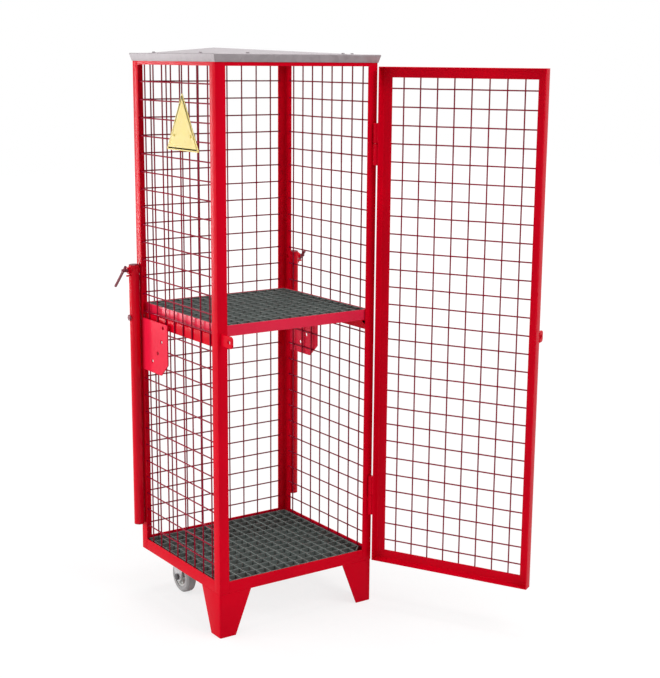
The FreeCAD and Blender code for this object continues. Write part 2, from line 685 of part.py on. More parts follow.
stile_face = block((DOOR_EDGE_X - DOOR_LEG, DOOR_EDGE_X), (DOOR_FACE, face_in), full_z)
stile_edge = block((edge_in, DOOR_EDGE_X), (DOOR_FACE, DOOR_BACK), full_z)
open_door("door_stile_hinge", join(stile_face, stile_edge))
stile_face = block((DOOR_FREE_X, DOOR_FREE_X + DOOR_LEG), (DOOR_FACE, face_in), full_z)
stile_edge = block((DOOR_FREE_X, free_in), (DOOR_FACE, DOOR_BACK), full_z)
open_door("door_stile_free", join(stile_face, stile_edge))
for name, edge, inward in (("top", DOOR_TOP, -1), ("bottom", DOOR_BOTTOM, 1)):
    rail_face = block(
        (DOOR_FREE_X + DOOR_LEG, DOOR_EDGE_X - DOOR_LEG),
        (DOOR_FACE, face_in),
        (edge, edge + inward * DOOR_LEG),
    )
    rail_edge = block((free_in, edge_in), (face_in, DOOR_BACK), (edge, edge + inward * DOOR_T))
    open_door("door_rail_" + name, join(rail_face, rail_edge))
first_wire = DOOR_EDGE_X - DOOR_FIRST_WIRE
wire_count = int((first_wire - DOOR_FREE_X - DOOR_LEG) / PITCH)
door_wires = [first_wire - PITCH * i for i in range(wire_count, -1, -1)]
door_mesh = grid(
    lambda u, v: V(u, DOOR_FACE, v),
    door_wires,
    wire_rows(DOOR_TOP_WIRE, DOOR_BOTTOM + DOOR_LEG, DOOR_BOTTOM),
    DOOR_FREE_X + DOOR_WIRE_INSET,
    DOOR_EDGE_X - DOOR_WIRE_INSET,
    WIRE,
    V(0, -MESH_T, 0),
)
open_door("door_mesh", door_mesh)
open_door("door_lug", lug(DOOR_FREE_X, DOOR_FACE, LUG_FRONT))
open_door("hinge_door_barrels", Part.makeCompound(door_barrels))

# Sign plate on the left wall, held by a backing bar
sign_high = SIGN_SIDE * math.sqrt(3) / 2
sign_x = -WALL_X - SIGN_T
sign = prism(
    [
        (sign_x, SIGN_Y - SIGN_SIDE / 2, SIGN_Z),
        (sign_x, SIGN_Y + SIGN_SIDE / 2, SIGN_Z),
        (sign_x, SIGN_Y, SIGN_Z + sign_high),
    ],
    (SIGN_T, 0, 0),
)
short_edges = [e for e in sign.Edges if abs(e.Length - SIGN_T) < 0.01]
sign = sign.makeFillet(SIGN_CORNER, short_edges)
bar_x = -WALL_X + MESH_T
sign_bar = block(
    (bar_x, bar_x + SIGN_BAR_T),
    (SIGN_Y - SIGN_BAR_HALF, SIGN_Y + SIGN_BAR_HALF),
    (SIGN_BAR_Z - SIGN_BAR_H / 2, SIGN_BAR_Z + SIGN_BAR_H / 2),
)
sign_screws = []
for side in (-1, 1):
    y = SIGN_Y + side * SIGN_SCREW_HALF
    shank = rod_x(SIGN_SCREW_D / 2, sign_x, bar_x + SIGN_BAR_T, y, SIGN_BAR_Z)
    sign = sign.cut(shank)
    sign_bar = sign_bar.cut(shank)
    head = rod_x(SIGN_SCREW_HEAD_D / 2, sign_x - SIGN_SCREW_HEAD_H, sign_x, y, SIGN_BAR_Z)
    sign_screws.append(join(shank, head))
save("sign_plate", sign)
save("sign_fixings", Part.makeCompound([sign_bar] + sign_screws))
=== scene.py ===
"""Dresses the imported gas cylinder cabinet: painted angles, round wire, gratings and fittings."""

import json
import math
import random

import bmesh
import bpy
from bpy.props import FloatProperty, FloatVectorProperty, PointerProperty
from mathutils import Matrix, Vector
from mathutils.geometry import tessellate_polygon


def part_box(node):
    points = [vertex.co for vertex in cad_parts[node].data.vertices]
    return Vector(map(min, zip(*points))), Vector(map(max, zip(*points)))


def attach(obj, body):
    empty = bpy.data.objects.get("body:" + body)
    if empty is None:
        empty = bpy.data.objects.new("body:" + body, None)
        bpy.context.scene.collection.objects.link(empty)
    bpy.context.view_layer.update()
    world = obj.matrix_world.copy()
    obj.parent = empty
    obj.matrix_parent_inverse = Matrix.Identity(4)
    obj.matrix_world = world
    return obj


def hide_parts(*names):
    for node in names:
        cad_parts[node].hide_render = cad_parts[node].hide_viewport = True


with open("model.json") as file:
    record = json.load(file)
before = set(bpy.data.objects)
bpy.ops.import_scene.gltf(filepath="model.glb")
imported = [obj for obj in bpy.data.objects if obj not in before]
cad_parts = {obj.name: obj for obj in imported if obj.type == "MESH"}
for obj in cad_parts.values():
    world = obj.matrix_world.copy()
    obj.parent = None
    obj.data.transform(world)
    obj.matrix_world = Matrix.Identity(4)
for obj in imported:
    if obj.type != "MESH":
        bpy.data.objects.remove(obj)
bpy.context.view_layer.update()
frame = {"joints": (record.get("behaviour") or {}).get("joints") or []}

bl_info = {
    "name": "Gas cylinder cabinet",
    "version": (1, 0, 0),
    "blender": (4, 5, 0),
    "location": "View3D > Sidebar > Cabinet",
    "description": "Builds the dressed gas cylinder cabinet around its packed solids",
    "category": "Object",
}

JOINTS = {joint["name"]: joint for joint in frame["joints"]}
SIDES = (("left", -1), ("right", 1))

# Sizes are in metres and angles in degrees. A placement turns u, v and w into a point.

# Rolled angles and plates
LEG_WALL = 0.004
POST_LEG = 0.030
HEEL_ROUND = 0.0009
ARRIS = 0.00035
TOE_SHARE = 0.6
FINE_EDGE = 0.0003
HEX_EDGE = 0.0009
SHARP = 32.0
ON_AXIS = 1e-7

# Drilled holes: how far the drill reaches in and out of a post's face
DRILL_IN = 0.015
DRILL_OUT = 0.010
DRILL_EDGE = 0.00001

# Weld beads: length of a ripple, its swell as shares of the radius, and the bare ends
BEAD_STEP = 0.0016
BEAD_SIDES = 8
BEAD_BASE = 0.86
BEAD_RIPPLE = 0.2
BEAD_STRAY = 0.06
BEAD_END = 0.002

# Wire mesh. The column depth is in wire diameters, the nugget and the tip in wire radii.
MESH_PITCH = 0.050
REAR_SHIFT = -0.006
WIRE_STEPS = 6
WIRE_SIDES = 10
COLUMN_DEPTH = 1.25
NUGGET = 1.25
TIP_LENGTH = 0.4
TIP_WIDTH = 0.7

# Gratings and shelf
GRATE_PITCH = 0.0333
GRATE_WALL = 0.003
GRATE_EDGE = 0.00035
CROSS_BAR_DROP = 0.00005
FLOOR_CORNER = 0.030
CORNER_STRIP = 0.0042
SHELF_WALL = 0.003
SHELF_LEDGE = 0.025
BEARER_WELD_LOW = 0.004
BEARER_WELD_HIGH = 0.007

# Feet: their width at the floor as a share, and the rounding of the section's corners
FOOT_NARROW = 0.5
FOOT_ROUNDS = (0.0045, 0.0006, 0.0006, 0.001, 0.0006, 0.0006)

# Castor forks
FORK_WALL = 0.003
FORK_PLAY = 0.002
FORK_CORNER = 0.009
CROWN_DEPTH = 0.016
CROWN_HALF = 0.038
CROWN_INNER = 0.0015
CROWN_OUTER = 0.004
FORK_LEG_HALF = 0.0362
FORK_LEG_TOP = 0.010
FORK_LEG_ROUND = 0.002
FORK_EYE = 0.014
FORK_EYE_ROUND = 0.012

# Wheels: half sections as radius, half width and rounding, then the ribs of the hub
TYRE_HALF = ((0.032, 0.016, 0.0004), (0.043, 0.016, 0.003), (0.0492, 0.011, 0.003))
TYRE_CROWN = ((0.050, 0.0, 0.040),)
HUB_HALF = (
    (0.00505, 0.0175, 0.0005), (0.013, 0.0175, 0.001), (0.0136, 0.005, 0.002),
    (0.0265, 0.005, 0.002), (0.028, 0.013, 0.001), (0.032, 0.013, 0.0003),
)
RIBS = 6
RIB_SECTION = ((-0.0015, 0.0045), (0.0015, 0.0045), (0.0012, 0.0115), (-0.0012, 0.0115))
RIB_REACH = (0.0126, 0.0282)

# Castor axles and mounting bolts
AXLE_R = 0.005
AXLE_FLATS = 0.017
AXLE_HEAD = 0.0065
AXLE_NUT = 0.0072
AXLE_TAIL = 0.0079
AXLE_SINK = 0.0005
SPACER_R = 0.008
SPACER_WALL = 0.0016
MOUNT_X = 0.032
MOUNT_Y = 0.040
MOUNT_R = 0.004
MOUNT_FLATS = 0.013
MOUNT_HEAD = 0.0053
MOUNT_LAP = 0.001

# Roof sheet and its screws. Faces less upright than ROOF_FLAT are shaded smooth.
ROOF_WALL = 0.0015
ROOF_LEAN = 0.006
ROOF_BORDER = 0.038
ROOF_CORNER = 0.0025
ROOF_BENDS = (0.0, 0.0008, 0.0004, 0.0004, 0.0022, 0.0)
ROOF_APEX = (-0.095, 0.055)
ROOF_SHARP = 25.0
ROOF_FLAT = 0.9
SCREW_HALF = (0.0046, 0.004)
SCREW_PLACE = (0.150, 0.130)
SCREW_FLATS = 0.008
SCREW_R = 0.0025
SCREW_HEAD_AT = 0.0006
SCREW_LAP = 0.0015
WASHER_R = 0.0065
WASHER_BORE = 0.002
WASHER_WALL = 0.001

# Quadrant plates
INDEX_ANGLES = (5.0, 23.0, 41.0, 59.0)
INDEX_RADIUS = 0.138
INDEX_HOLE = 0.0054
PLATE_CHAMFER = (0.040, 0.036)
PLATE_ROUNDS = (0.005, 0.005, 0.0, 0.0, 0.004)
PLATE_WELD_IN = 0.0009

# Push handles. Profiles are radius and height, those of the pin's end counted back from it.
TUBE_R = 0.015
TUBE_BORE = 0.013
TUBE_EDGE = 0.0006
PEG_R = 0.0025
PEG_EDGE = 0.0008
PEG_SPAN = (0.012, 0.027)
PEG_BACK = 0.005
PEG_DROP = 0.015
BUSH_R = 0.008
BUSH_BORE = 0.00505
GUIDE_R = 0.010
GUIDE_OUT = 0.005
SEAM_OUT = 0.0004
SEAM_STEPS = 24
PLUG = (
    (0.0, 0.003), (0.006, 0.0028), (0.011, 0.002), (0.014, 0.0009),
    (0.015, 0.0), (0.0129, 0.0), (0.0127, -0.0042), (0.0, -0.0044),
)
PIN_TIP = ((0.0, 0.0), (0.0036, 0.0), (0.005, 0.0014))
PIN_END = ((0.005, 0.011), (0.0044, 0.0106), (0.005, 0.0102), (0.005, 0.001), (0.004, 0.0), (0.0, 0.0))
TEE_SLOPE = 44.0
TEE_SPAN = (0.020, 0.076)
TEE_R = 0.004
TEE_EDGE = 0.0014

# Handle pivots, with places counted outwards from the tube's axis
PIVOT_R = 0.005
PIVOT_EDGE = 0.0009
PIVOT_FLATS = 0.016
PIVOT_SPAN = (-0.028, 0.0164)
PIVOT_HEAD = (0.0154, 0.0199)
PIVOT_NUT = (-0.021, -0.027)
PIVOT_WASHER = (-0.017, -0.0154)
PIVOT_WASHER_R = 0.010

# Door and padlock lugs
DOOR_WALL = 0.003
DOOR_LEG = 0.029
DOOR_TOE = 0.0008
DOOR_SEAM = 0.00015
DOOR_EDGE_GAP = 0.00855
DOOR_FREE = -0.239
DOOR_BACK = -0.2315
DOOR_FACE = DOOR_BACK - DOOR_LEG
DOOR_FIRST_WIRE = 0.061
DOOR_WIRE_INSET = 0.008
LUG_WALL = 0.005
LUG_EYE = (-0.272, 0.842)
LUG_EYE_R = 0.006
LUG_NOSE = 0.009
LUG_EDGE = 0.0007
LUG_WELD_IN = 0.0006
LUG_WELD_SIDE = 0.0005

# Hinges, with heights counted from the joint between the barrels
HINGE_PIN_HALF = 0.048
HINGE_PIN_R = 0.005
HINGE_PIN_SPAN = (-0.005, 0.008)
HINGE_WASHER = 0.002
BARREL_R = 0.008
BARREL_BORE = 0.00505
BARREL_EDGE = 0.0012
BARREL_BORE_DEPTH = 0.006
BARREL_REACH = 0.058
BARREL_GAP = 0.0024
PAD_HALF = 0.0055
PAD_END = 0.0015
PAD_WELD = 0.0059
PAD_WELD_IN = 0.0007

# Sign plate. The dome of its screws is a profile of radius and height.
SIGN_SIDE = 0.178
SIGN_ROUND = 0.003
SIGN_BAR_WALL = 0.002
RIM_OUT = 0.005
RIM_IN = 0.0075
RIM_WALL = 0.00075
RIM_SINK = 0.00025
RIM_EDGE = 0.00024
SIGN_SCREW_Y = 0.045
SIGN_SCREW_R = 0.0025
SIGN_SCREW_SHY = 0.0002
SIGN_DOME = ((0.0, 0.0025), (0.0022, 0.0023), (0.0038, 0.0014), (0.0045, 0.0002), (0.0045, 0.0), (0.0, 0.0))

# Stage. Each light has its place, its target and its width and height.
WHITE = (1.0, 1.0, 1.0, 1.0)
FLOOR_GREY = (0.86, 0.86, 0.86, 1.0)
FLOOR_REACH = 14.0
FLOOR_GLOW = 1.08
SHADOW_SHARE = (0.70, 1.0)
SHADOW_REACH = (1.2, 4.5)
LIGHTS = {
    "key": ((-3.4, 1.4, 1.3), (0.0, 0.0, 0.8), (2.2, 2.4)),
    "rim": ((-2.2, 4.05, 0.85), (-0.25, 0.2, 1.2), (0.3, 1.35)),
    "fill": ((1.0, -2.6, 3.6), (0.0, 0.0, 0.8), (2.0, 2.0)),
    "top": ((0.2, 0.1, 4.2), (0.0, 0.0, 0.8), (2.4, 2.4)),
}
VIEW_PLACE = (-2.0265, -3.2940, 1.5712)
VIEW_YAW = 34.82
VIEW_PITCH = 11.97
VIEW_ROLL = 0.46
VIEW_SENSOR = 36.0
VIEW_LENS = 74.59
VIEW_SHIFT = 0.0138
VIEW_END = 60.0


# Properties

def metres(name, text, value):
    return FloatProperty(name=name, description=text, default=value, unit="LENGTH")


def watts(name, text, value):
    return FloatProperty(name=name, description=text, default=value, unit="POWER")


def colour(name, text, value):
    return FloatVectorProperty(
        name=name, description=text, default=value, size=3, subtype="COLOR", min=0.0, max=1.0
    )


class CabinetSizes(bpy.types.PropertyGroup):
    """Sizes of the details that the solids leave plain"""

    wire: metres("Wire", "Diameter of the mesh wire", 0.004)
    root: metres("Root radius", "Fillet inside a rolled angle", 0.0045)
    toe: metres("Toe radius", "Rounding of a rolled angle's toes", 0.002)
    edge: metres("Edge break", "Chamfer on cut and sheared edges", 0.0005)
    bead: metres("Weld bead", "Radius of the weld beads", 0.002)
    cross_bar: metres("Cross bar depth", "Depth of a grating's cross bars", 0.020)
    wave: metres("Wire wave", "How far a wire strays from straight", 0.00035)


class CabinetColours(bpy.types.PropertyGroup):
    """Base colours of the finishes"""

    red: colour("Red paint", "Gloss paint of the frame and door", (0.655, 0.0004, 0.0135))
    # Painted shade: the wire carries the frame's red paint, and this darker plum stands in for the shade on
    # the round wires
    wire: colour("Wire paint", "Darker gloss paint of the wire mesh", (0.26, 0.002, 0.022))
    # Painted sheen: the shelf carries red paint, and this paler pink stands in for the sheen on the shelf
    # frame
    shelf: colour("Shelf paint", "Paler gloss paint of the loose shelf", (0.74, 0.014, 0.055))
    # Painted light: the plates carry the frame's red paint, and this brighter, pinker red stands in for the
    # stronger light and sheen on them
    plate: colour("Plate paint", "Brighter gloss paint of the quadrant plates", (0.80, 0.010, 0.045))
    sheet: colour("Galvanised sheet", "Spangled zinc of the roof", (0.325, 0.292, 0.307))
    grating: colour("Grating", "Dark coating of the gratings", (0.088, 0.104, 0.098))
    zinc: colour("Zinc plate", "Castors, bolts and pins", (0.56, 0.56, 0.57))
    axle: colour("Axle", "Dark plate of the axle bolts", (0.12, 0.12, 0.125))
    tyre: colour("Tyre", "Grey rubber of the wheels", (0.36, 0.36, 0.36))
    hub: colour("Hub", "Pale plastic of the wheel hubs", (0.62, 0.62, 0.60))
    # Painted shade: this dark maroon stands in for the red paint of the pins, pivots and plugs in shade
    lacquer: colour("Dark red lacquer", "Pins, pivots and plugs of the push handles", (0.19, 0.026, 0.045))
    sign: colour("Sign plate", "Enamel of the bare sign plate", (0.68, 0.53, 0.115))


class CabinetStage(bpy.types.PropertyGroup):
    """Light on the stage"""

    key: watts("Key light", "Power of the light on the left", 70.0)
    rim: watts("Rim light", "Power of the light behind on the left", 34.0)
    fill: watts("Fill light", "Power of the light in front", 63.0)
    top: watts("Top light", "Power of the light overhead", 75.0)
    ambient: FloatProperty(
        name="Ambient", description="Level of the surrounding light", default=0.42, min=0.0
    )


def sizes():
    return bpy.context.scene.cabinet_sizes


# Finishes

def feed(tree, value, socket):
    # Links a socket to another one, or sets its plain value.
    if isinstance(value, bpy.types.NodeSocket):
        tree.links.new(value, socket)
    else:
        socket.default_value = value


def add(tree, kind, **values):
    # One node, with its settings and inputs taken from values.
    made = tree.nodes.new("ShaderNode" + kind)
    for key, value in values.items():
        if hasattr(made, key):
            setattr(made, key, value)
        else:
            feed(tree, value, made.inputs[key.replace("_", " ")])
    return made


def empty_tree(owner):
    owner.use_nodes = True
    owner.node_tree.nodes.clear()
    return owner.node_tree


def blank(name):
    made = bpy.data.materials.new(name)
    tree = empty_tree(made)
    shader = add(tree, "BsdfPrincipled")
    add(tree, "OutputMaterial", Surface=shader.outputs[0])
    return made, tree, shader, add(tree, "TexCoord").outputs["Object"]


def mix_colours(tree, factor, one, two):
    # Inputs 6 and 7 and output 2 are the node's colour sockets.
    made = add(tree, "Mix", data_type="RGBA")
    for index, value in ((0, factor), (6, one), (7, two)):
        feed(tree, value, made.inputs[index])
    return made.outputs[2]


def tint(tree, factor, base, tones):
    # Runs from the base colour times the first tone to it times the second.
    dark, light = ((*(min(1.0, part * tone) for part in base), 1.0) for tone in tones)
    return mix_colours(tree, factor, dark, light)


def noise(tree, place, scale, detail, rough=0.5):
    return add(tree, "TexNoise", Vector=place, Scale=scale, Detail=detail, Roughness=rough).outputs[0]


def span(tree, value, low, high, start=0.3, end=0.7):
    # Maps start to end, by default the middle of a noise, onto low to high.
    made = add(tree, "MapRange", Value=value, From_Min=start, From_Max=end, To_Min=low, To_Max=high)
    return made.outputs[0]


def dress(tree, shader, place, base, rough, relief, gloss=0.5, metal=0.0):
    # Relief is the scale and detail of a noise, and its strength and height as a bump.
    scale, detail, strength, distance = relief
    height = noise(tree, place, scale, detail)
    bump = add(tree, "Bump", Height=height, Strength=strength, Distance=distance).outputs[0]
    sockets = {
        "Base Color": base, "Roughness": rough, "Normal": bump, "Specular IOR Level": gloss, "Metallic": metal
    }
    for key, value in sockets.items():
        feed(tree, value, shader.inputs[key])


def coated(name, base, cloud, tones, grain, sheen, **rest):
    # Clouded colour and uneven sheen. Cloud and grain are the scale and detail of a noise.
    made, tree, shader, place = blank(name)
    colours = tint(tree, span(tree, noise(tree, place, *cloud), 0.0, 1.0), base, tones)
    dress(tree, shader, place, colours, span(tree, noise(tree, place, *grain), *sheen), **rest)
    return made


def galvanised(name, base, cells, tones, sheen, **rest):
    # Each spangle has its own tone and sheen.
    made, tree, shader, place = blank(name)
    spangle = add(tree, "TexVoronoi", Vector=place, Scale=cells).outputs["Color"]
    facet = add(tree, "SeparateColor", Color=spangle).outputs[0]
    dress(tree, shader, place, tint(tree, facet, base, tones), span(tree, facet, *sheen, 0.0, 1.0), **rest)
    return made


def dark_coat(name, base, cloud, tones, worn_tones, worn, grain, sheen, **rest):
    # A clouded coat with painted light: faces that look up are painted brighter, standing in for the light on
    # the bars' tops.
    made, tree, shader, place = blank(name)
    clouds = span(tree, noise(tree, place, *cloud), 0.0, 1.0)
    normal = add(tree, "NewGeometry").outputs["True Normal"]
    upward = span(tree, add(tree, "SeparateXYZ", Vector=normal).outputs["Z"], 0.0, 1.0, *worn)
    colours = mix_colours(tree, upward, tint(tree, clouds, base, tones), tint(tree, clouds, base, worn_tones))
    dress(tree, shader, place, colours, span(tree, noise(tree, place, *grain), *sheen), **rest)
    return made


PAINT = {
    "cloud": (7.0, 4.0), "tones": (0.93, 1.06), "grain": (38.0, 5.0), "relief": (420.0, 2.0, 0.10, 0.0006)
}
SPANGLE = {
    "cells": 70.0, "tones": (0.86, 1.10), "sheen": (0.38, 0.58),
    "metal": 0.25, "relief": (90.0, 3.0, 0.06, 0.0006),
}
DARK_COAT = {
    # The tones for faces that look up are a painted highlight on the bars' tops
    "cloud": (26.0, 5.0, 0.6), "tones": (1.15, 1.75), "worn_tones": (1.4, 2.0), "worn": (0.6, 0.95),
    "grain": (120.0, 3.0), "sheen": (0.50, 0.72), "metal": 0.15, "relief": (300.0, 3.0, 0.25, 0.0005),
}
PLATING = {
    "cloud": (60.0, 4.0), "tones": (0.82, 1.12), "grain": (210.0, 3.0), "sheen": (0.28, 0.46),
    "metal": 0.5, "relief": (500.0, 2.0, 0.08, 0.0004),
}
ENAMEL = {
    "cloud": (20.0, 5.0), "tones": (0.94, 1.04), "grain": (90.0, 3.0), "sheen": (0.26, 0.38),
    "gloss": 0.2, "relief": (260.0, 2.0, 0.05, 0.0004),
}


def paint(gloss, sheen):
    return {**PAINT, "gloss": gloss, "sheen": sheen}


def moulding(sheen, grit):
    # Rubber, plastic and lacquer differ in sheen and in the scale of their relief.
    relief = (grit, 2.0, 0.15, 0.0004)
    return {
        "cloud": (45.0, 4.0), "tones": (0.86, 1.12), "grain": (150.0, 3.0), "sheen": sheen,
        "gloss": 0.35, "relief": relief,
    }


# Finish: its record slot, its colour property, its maker and the maker's values
FINISHES = {
    "red": ("red_paint", "red", coated, paint(0.03, (0.18, 0.26))),
    # The wire finish's darker colour is painted shade on the round wires
    "wire": ("red_paint", "wire", coated, paint(0.06, (0.26, 0.36))),
    # The shelf finish's paler colour is painted sheen
    "shelf": ("red_paint", "shelf", coated, paint(0.17, (0.18, 0.28))),
    # The plate finish's brighter colour is painted light and sheen
    "plate": ("red_paint", "plate", coated, paint(0.07, (0.18, 0.26))),
    "tube": ("red_paint", "red", coated, paint(0.10, (0.11, 0.17))),
    "sheet": ("galvanised_sheet", "sheet", galvanised, SPANGLE),
    "grating": ("dark_grating", "grating", dark_coat, DARK_COAT),
    "zinc": ("zinc_plate", "zinc", coated, PLATING),
    "axle": ("zinc_plate", "axle", coated, PLATING),
    "tyre": ("grey_tyre", "tyre", coated, moulding((0.62, 0.8), 380.0)),
    "hub": ("grey_hub", "hub", coated, moulding((0.40, 0.55), 300.0)),
    # The dark maroon of the pins, pivots and plugs is painted shade on red paint
    "lacquer": ("dark_red_lacquer", "lacquer", coated, moulding((0.30, 0.44), 340.0)),
    "sign": ("yellow_enamel", "sign", coated, ENAMEL),
}


def finish_material(finish):
    _, key, maker, values = FINISHES[finish]
    found = bpy.data.materials.get("cabinet_" + finish)
    if found is None:
        found = maker("cabinet_" + finish, tuple(getattr(bpy.context.scene.cabinet_colours, key)), **values)
    return found


# Outlines: lists of 2-D points, counter-clockwise

def turns(sides):
    return [math.tau * k / sides for k in range(sides)]


def rectangle(left, bottom, right, top):
    return [Vector(p) for p in ((left, bottom), (right, bottom), (right, top), (left, top))]


def angle_corners(long_leg, other_leg, wall):
    return [(0, 0), (long_leg, 0), (long_leg, wall), (wall, wall), (wall, other_leg), (0, other_leg)]


def hole(centre, radius, sides=28):
    # A hole's outline runs clockwise.
    return [Vector(centre) + Vector((math.cos(-a), math.sin(-a))) * radius for a in turns(sides)]


def rounded(corners, radii, steps=5):
    # The closed outline with each corner rounded by its radius.
    loop = []
    count = len(corners)
    for i, radius in enumerate(radii):
        before, here, after = (Vector(corners[(i + k) % count]) for k in (-1, 0, 1))
        if radius <= 0:
            loop.append(here)
            continue
        one = (before - here).normalized()
        two = (after - here).normalized()
        half = one.angle(two) / 2
        centre = here + (one + two).normalized() * (radius / math.sin(half))
        start = here + one * (radius / math.tan(half)) - centre
        stop = here + two * (radius / math.tan(half)) - centre
        arc = math.pi - 2 * half
        for k in range(steps + 1):
            turned = arc * k / steps
            loop.append(centre + (start * math.sin(arc - turned) + stop * math.sin(turned)) / math.sin(arc))
    return loop


def inset(loop, depth):
    moved = []
    count = len(loop)
    for i, here in enumerate(loop):
        one = (here - loop[i - 1]).normalized()
        two = (loop[(i + 1) % count] - here).normalized()
        first = Vector((-one.y, one.x))
        second = Vector((-two.y, two.x))
        # The limit keeps a very sharp corner from running away
        moved.append(here + (first + second) * (depth / max(1.0 + first.dot(second), 0.2)))
    return moved


# Placements

def plain(u, v, w):
    return Vector((u, v, w))


def along(origin, direction):
    # Placement with its height along a direction from an origin.
    axes = Vector(direction).normalized().to_track_quat("Z", "Y").to_matrix()
    base = Vector(origin)
    return lambda u, v, w: base + axes @ Vector((u, v, w))


def between(start, end):
    # Placement with its height from start towards end, and how far apart the two are.
    way = Vector(end) - Vector(start)
    return along(start, way), way.length


def on_face(axis, side, face):
    # Placement on an upright face across axis 0 or 1: along it, up it, and in from it.
    def place(u, v, w):
        spot = Vector((u, u, v))
        spot[axis] = face - side * w
        return spot

    return place


def outward(low, high, axis):
    # Which way a box lies from the middle along an axis, and its outer face there.
    return (1, high[axis]) if low[axis] > 0 else (-1, low[axis])


# Mesh making

def broken(edge):
    return sizes().edge if edge is None else edge


def disc(place, radius, height, sides):
    return [place(radius * math.cos(a), radius * math.sin(a), height) for a in turns(sides)]


def ring(bm, points):
    return [bm.verts.new(p) for p in points]


def bridge(bm, rings, closed=False):
    pairs = list(zip(rings, rings[1:])) + ([(rings[-1], rings[0])] if closed else [])
    for one, two in pairs:
        count = len(one)
        for i in range(count):
            j = (i + 1) % count
            # A ring drawn together on the axis repeats its one vertex
            unique = list(dict.fromkeys((one[i], one[j], two[j], two[i])))
            if len(unique) > 2:
                bm.faces.new(unique)


def loft(bm, levels):
    rings = [ring(bm, level) for level in levels]
    bridge(bm, rings)
    bm.faces.new(rings[0])
    bm.faces.new(rings[-1])


def bar_levels(section, place, start, end, edge):
    # A straight bar with broken ends. Its start and end may be functions of the section's point.
    first = start if callable(start) else (lambda p: start)
    last = end if callable(end) else (lambda p: end)
    small = inset(section, edge)
    return [
        [place(p.x, p.y, first(p)) for p in small],
        [place(p.x, p.y, first(p) + edge) for p in section],
        [place(p.x, p.y, last(p) - edge) for p in section],
        [place(p.x, p.y, last(p)) for p in small],
    ]


def sweep(bm, section, place, start, end, edge=None):
    loft(bm, bar_levels(section, place, start, end, broken(edge)))


def plate(bm, outline, place, wall, holes=(), edge=None):
    # A flat plate with holes, its cut edges broken all round.
    edge = broken(edge)
    loops = [outline, *holes]
    caps = ([], [])
    for loop in loops:
        rings = [ring(bm, level) for level in bar_levels(loop, place, 0.0, wall, edge)]
        bridge(bm, rings)
        caps[0].extend(rings[0])
        caps[1].extend(rings[-1])
    triangles = tessellate_polygon([[p.to_3d() for p in inset(loop, edge)] for loop in loops])
    for cap in caps:
        for triangle in triangles:
            bm.faces.new([cap[i] for i in triangle])


def lathe(bm, profile, place, sides=40, closed=False):
    # Profile points are radius and height along the axis.
    rings = []
    for radius, height in profile:
        if radius < ON_AXIS:
            rings.append([bm.verts.new(place(0.0, 0.0, height))] * sides)
        else:
            rings.append(ring(bm, disc(place, radius, height, sides)))
    bridge(bm, rings, closed)


def rod(bm, start, end, radius, sides=32, edge=None):
    edge = broken(edge)
    place, length = between(start, end)
    profile = [
        (0.0, 0.0), (radius - edge, 0.0), (radius, edge),
        (radius, length - edge), (radius - edge, length), (0.0, length),
    ]
    lathe(bm, profile, place, sides)


def sleeve(bm, start, end, outer, bore, sides=40, edge=None):
    edge = broken(edge)
    place, length = between(start, end)
    profile = [
        (bore, edge), (bore + edge, 0.0), (outer - edge, 0.0), (outer, edge),
        (outer, length - edge), (outer - edge, length), (bore + edge, length), (bore, length - edge),
    ]
    lathe(bm, profile, place, sides, closed=True)


def hex_head(bm, start, end, flats):
    # A hexagon with its ends broken.
    corners = [Vector((math.cos(a), math.sin(a))) * flats / math.sqrt(3) for a in turns(6)]
    place, length = between(start, end)
    sweep(bm, corners, place, 0.0, length, min(HEX_EDGE, length / 3))


def box_bar(bm, low, high, edge=None):
    sweep(bm, rectangle(low[0], low[1], high[0], high[1]), plain, low[2], high[2], edge)


def angle(bm, long_leg, other_leg, wall, place, start, end, toe=None, edge=None):
    # A rolled angle: heel at the placement's origin, legs along u and v.
    toe = min(sizes().toe, wall * TOE_SHARE) if toe is None else toe
    radii = [HEEL_ROUND, ARRIS, toe, sizes().root, toe, ARRIS]
    section = rounded(angle_corners(long_leg, other_leg, wall), radii, steps=4)
    sweep(bm, section, place, start, end, edge)


def bead(bm, points, share, seed):
    # A weld bead: a low tube with the ripples of its passes, sized as a share of the bead radius.
    draw = random.Random(seed)
    radius = sizes().bead * share
    levels = []
    for start, end in zip(points, points[1:]):
        place, length = between(start, end)
        steps = max(2, int(length / BEAD_STEP))
        for k in range(steps):
            swell = radius * (BEAD_BASE + BEAD_RIPPLE * (k % 2) + draw.uniform(-BEAD_STRAY, BEAD_STRAY))
            levels.append(disc(place, swell, length * k / steps, BEAD_SIDES))
    loft(bm, levels)


def upright_bead(bm, x, y, low, high, share, seed):
    bead(bm, [(x, y, low + BEAD_END), (x, y, high - BEAD_END)], share, seed)


def put(name, data):
    made = bpy.data.objects.new(name, data)
    bpy.context.scene.collection.objects.link(made)
    return made


def to_mesh(bm, name):
    bmesh.ops.recalc_face_normals(bm, faces=bm.faces[:])
    mesh = bpy.data.meshes.new(name)
    bm.to_mesh(mesh)
    bm.free()
    return mesh


def piece(bm, name, node, finish, body="cabinet", turn=None, sharp=SHARP):
    # Makes the drawn mesh the piece that stands for a node.
    if turn is not None:
        bm.transform(turn)
    mesh = to_mesh(bm, name)
    mesh.shade_smooth()
    mesh.set_sharp_from_angle(angle=math.radians(sharp))
    mesh.materials.append(finish_material(finish))
    made = put(name, mesh)
    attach(made, body)
    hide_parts(node)
    return made


